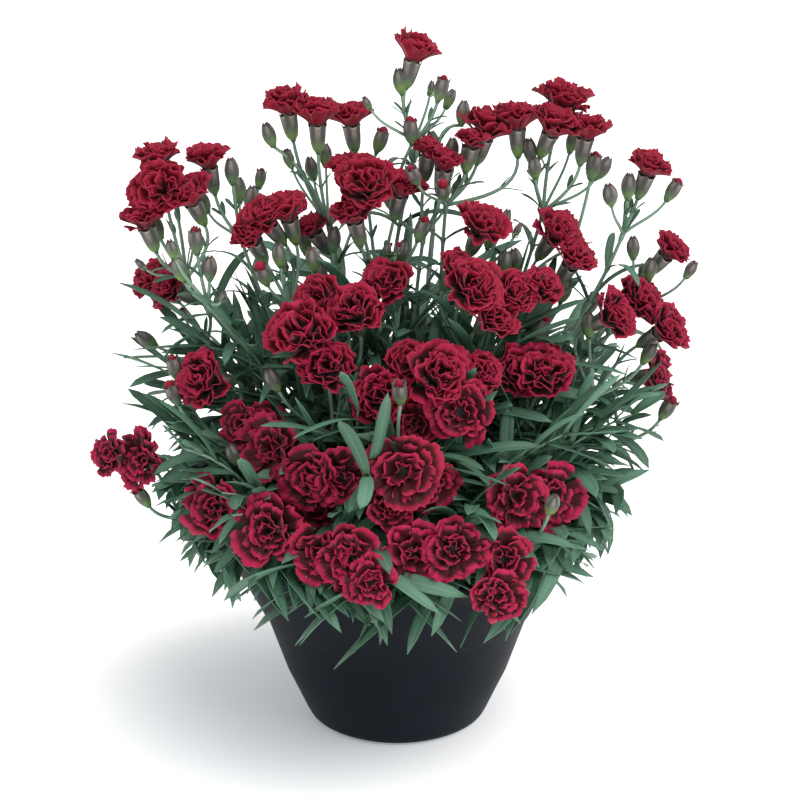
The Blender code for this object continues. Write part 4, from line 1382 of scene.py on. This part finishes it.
wax = leaf_wax()
skin = calyx_skin()
furled_buds = Bunch()
for plant, (_, stems) in PLANTS.items():
    greens, cups = Bunch(), Bunch()
    draw = random.Random(plant + " greens")
    foot = crown_foot(plant)
    levels = np.array([foot + Vector((0, 0, z * MM)) for z in CROWN_LEVELS])
    crown_path = levels[0] + np.outer(np.linspace(0, 1, len(CROWN_BULGE)), levels[2] - levels[0])
    greens.add(*sleeve(crown_path, np.array(CROWN_BULGE) * MM, 10), draw.uniform(0, 1), 1)
    targets = [mean([Vector(spot[:3]) for spot in blooms + buds]) for blooms, buds in stems]
    for s, (_, buds) in enumerate(stems):
        blooms = stem_blooms[plant, s]
        middles = [Vector(spot) * MM for spot in buds]
        apart = (targets[s] - mean(targets)) * Vector((1, 1, 0))
        found = find_stem(plant, s, blooms, middles, foot + apart.normalized() * STEM_APART)
        if not found:
            continue
        curve, heading, path, solid_rings = found
        fork = curve[3]
        joints = dress_stem(greens, curve, path, draw)
        dress_ends(plant, s, fork, blooms, middles, greens, cups, draw)
        dress_joints(plant, s, curve, path, heading, solid_rings, joints, greens, draw)
        taken = [(item["middle"], item["radius"] * 1.1) for item in all_blooms]
        taken += [(item["mouth"] - item["axis"] * CALYX_MIDDLE, CALYX_ROUND) for item in all_blooms]
        taken += [(middle, BUD_ROUND) for middle in middles]
        for _ in range(SIDE_BUDS if fork.z > HIGH_FORK else 0):
            side_bud(cups, greens, fork, heading, taken, draw)
    below, above = rings(levels, [CROWN_RADIUS] * 3, CROWN_SIDES)[1:]
    for n in range(CROWN_SIDES):
        azimuth = RING_START + math.tau * (n + 0.5) / CROWN_SIDES
        seed = f"{plant} crown leaf {n}"
        solid_leaf(greens, below, above, n, azimuth, 1.1, CROWN_LEAF, LEAF_WIDTH * 1.2, seed, draw)
    grow_mound(plant, foot, greens, draw)
    node_name = "stems_" + plant
    show(greens.piece("greens_" + plant, "tone", "stem"), wax, "leaves", node_name)
    if cups.count:
        show(cups.piece("calyxes_" + plant, "tone", "bract"), skin, "leaves", node_name)
show(furled_buds.piece("furled_petals", "tone", "opened", "shade"), velvet, "petals")


# The stage: a plain white floor that glows evenly, with a painted soft shadow dimming its glow round
# the pot, even light from all round, one broad light from above, the right and the front, and the
# camera where the photograph was taken from, level with the top of the plant and looking down at the pot.

CAMERA_PLACE = (0.0022, -1.25, 0.662)
CAMERA_PITCH = 18.1
SENSOR_WIDTH = 36
PHOTO_WIDTH = 800
PIXELS_TO_LENS = 1747
FLOOR_SIZE = 160
FLOOR_HEIGHT = -0.5 * MM
# The painted shadow on the floor: its middle, left of the pot, and where it starts and ends fading.
PAINTED_SHADE_MIDDLE = (-0.09, 0.0, 0)
PAINTED_SHADE_INNER = 0.06
PAINTED_SHADE_OUTER = 0.29
LIGHT_FROM = (0.65, -0.52, 1.35)
LIGHT_STRENGTH = 1.9
LIGHT_WIDTH = math.radians(55)
ROUND_STRENGTH = 0.66

bpy.ops.mesh.primitive_plane_add(size=FLOOR_SIZE, location=(0, 0, FLOOR_HEIGHT))
floor = bpy.context.active_object
floor.name = "studio_floor"
white, wire, start = finish(
    "studio white", Base_Color=(0.9, 0.9, 0.9, 1), Roughness=0.9, Specular_IOR_Level=0.1,
    Emission_Strength=0.5)
# Painted shadow: the floor's glow is dimmed to a cool grey in a soft patch round the pot, deepest at its
# left; further off it glows evenly white.
distance = start.make("VectorMath", {"operation": "DISTANCE"}, {0: start.objects(), 1: PAINTED_SHADE_MIDDLE}, 1)
shade = distance.step(PAINTED_SHADE_INNER, PAINTED_SHADE_OUTER).blend((0.34, 0.37, 0.41, 1), (1.2, 1.2, 1.2, 1))
wire("Emission Color", shade)
floor.data.materials.append(white)

sky_light = bpy.data.lights.new("window_light", "SUN")
sky_light.energy = LIGHT_STRENGTH
sky_light.angle = LIGHT_WIDTH
window = linked("window_light", sky_light)
window.rotation_euler = Vector(LIGHT_FROM).to_track_quat("Z", "Y").to_euler()
world = bpy.data.worlds.new("studio")
world.use_nodes = True
world.node_tree.nodes["Background"].inputs[0].default_value = (1, 1, 1, 1)
world.node_tree.nodes["Background"].inputs[1].default_value = ROUND_STRENGTH
bpy.context.scene.world = world
bpy.context.scene.view_settings.view_transform = "Standard"

lens = bpy.data.cameras.new("photo_camera")
lens.lens = SENSOR_WIDTH * PIXELS_TO_LENS / PHOTO_WIDTH
lens.sensor_width = SENSOR_WIDTH
camera = linked("photo_camera", lens)
camera.location = CAMERA_PLACE
camera.rotation_euler = (math.radians(90 - CAMERA_PITCH), 0, 0)
bpy.context.scene.camera = camera
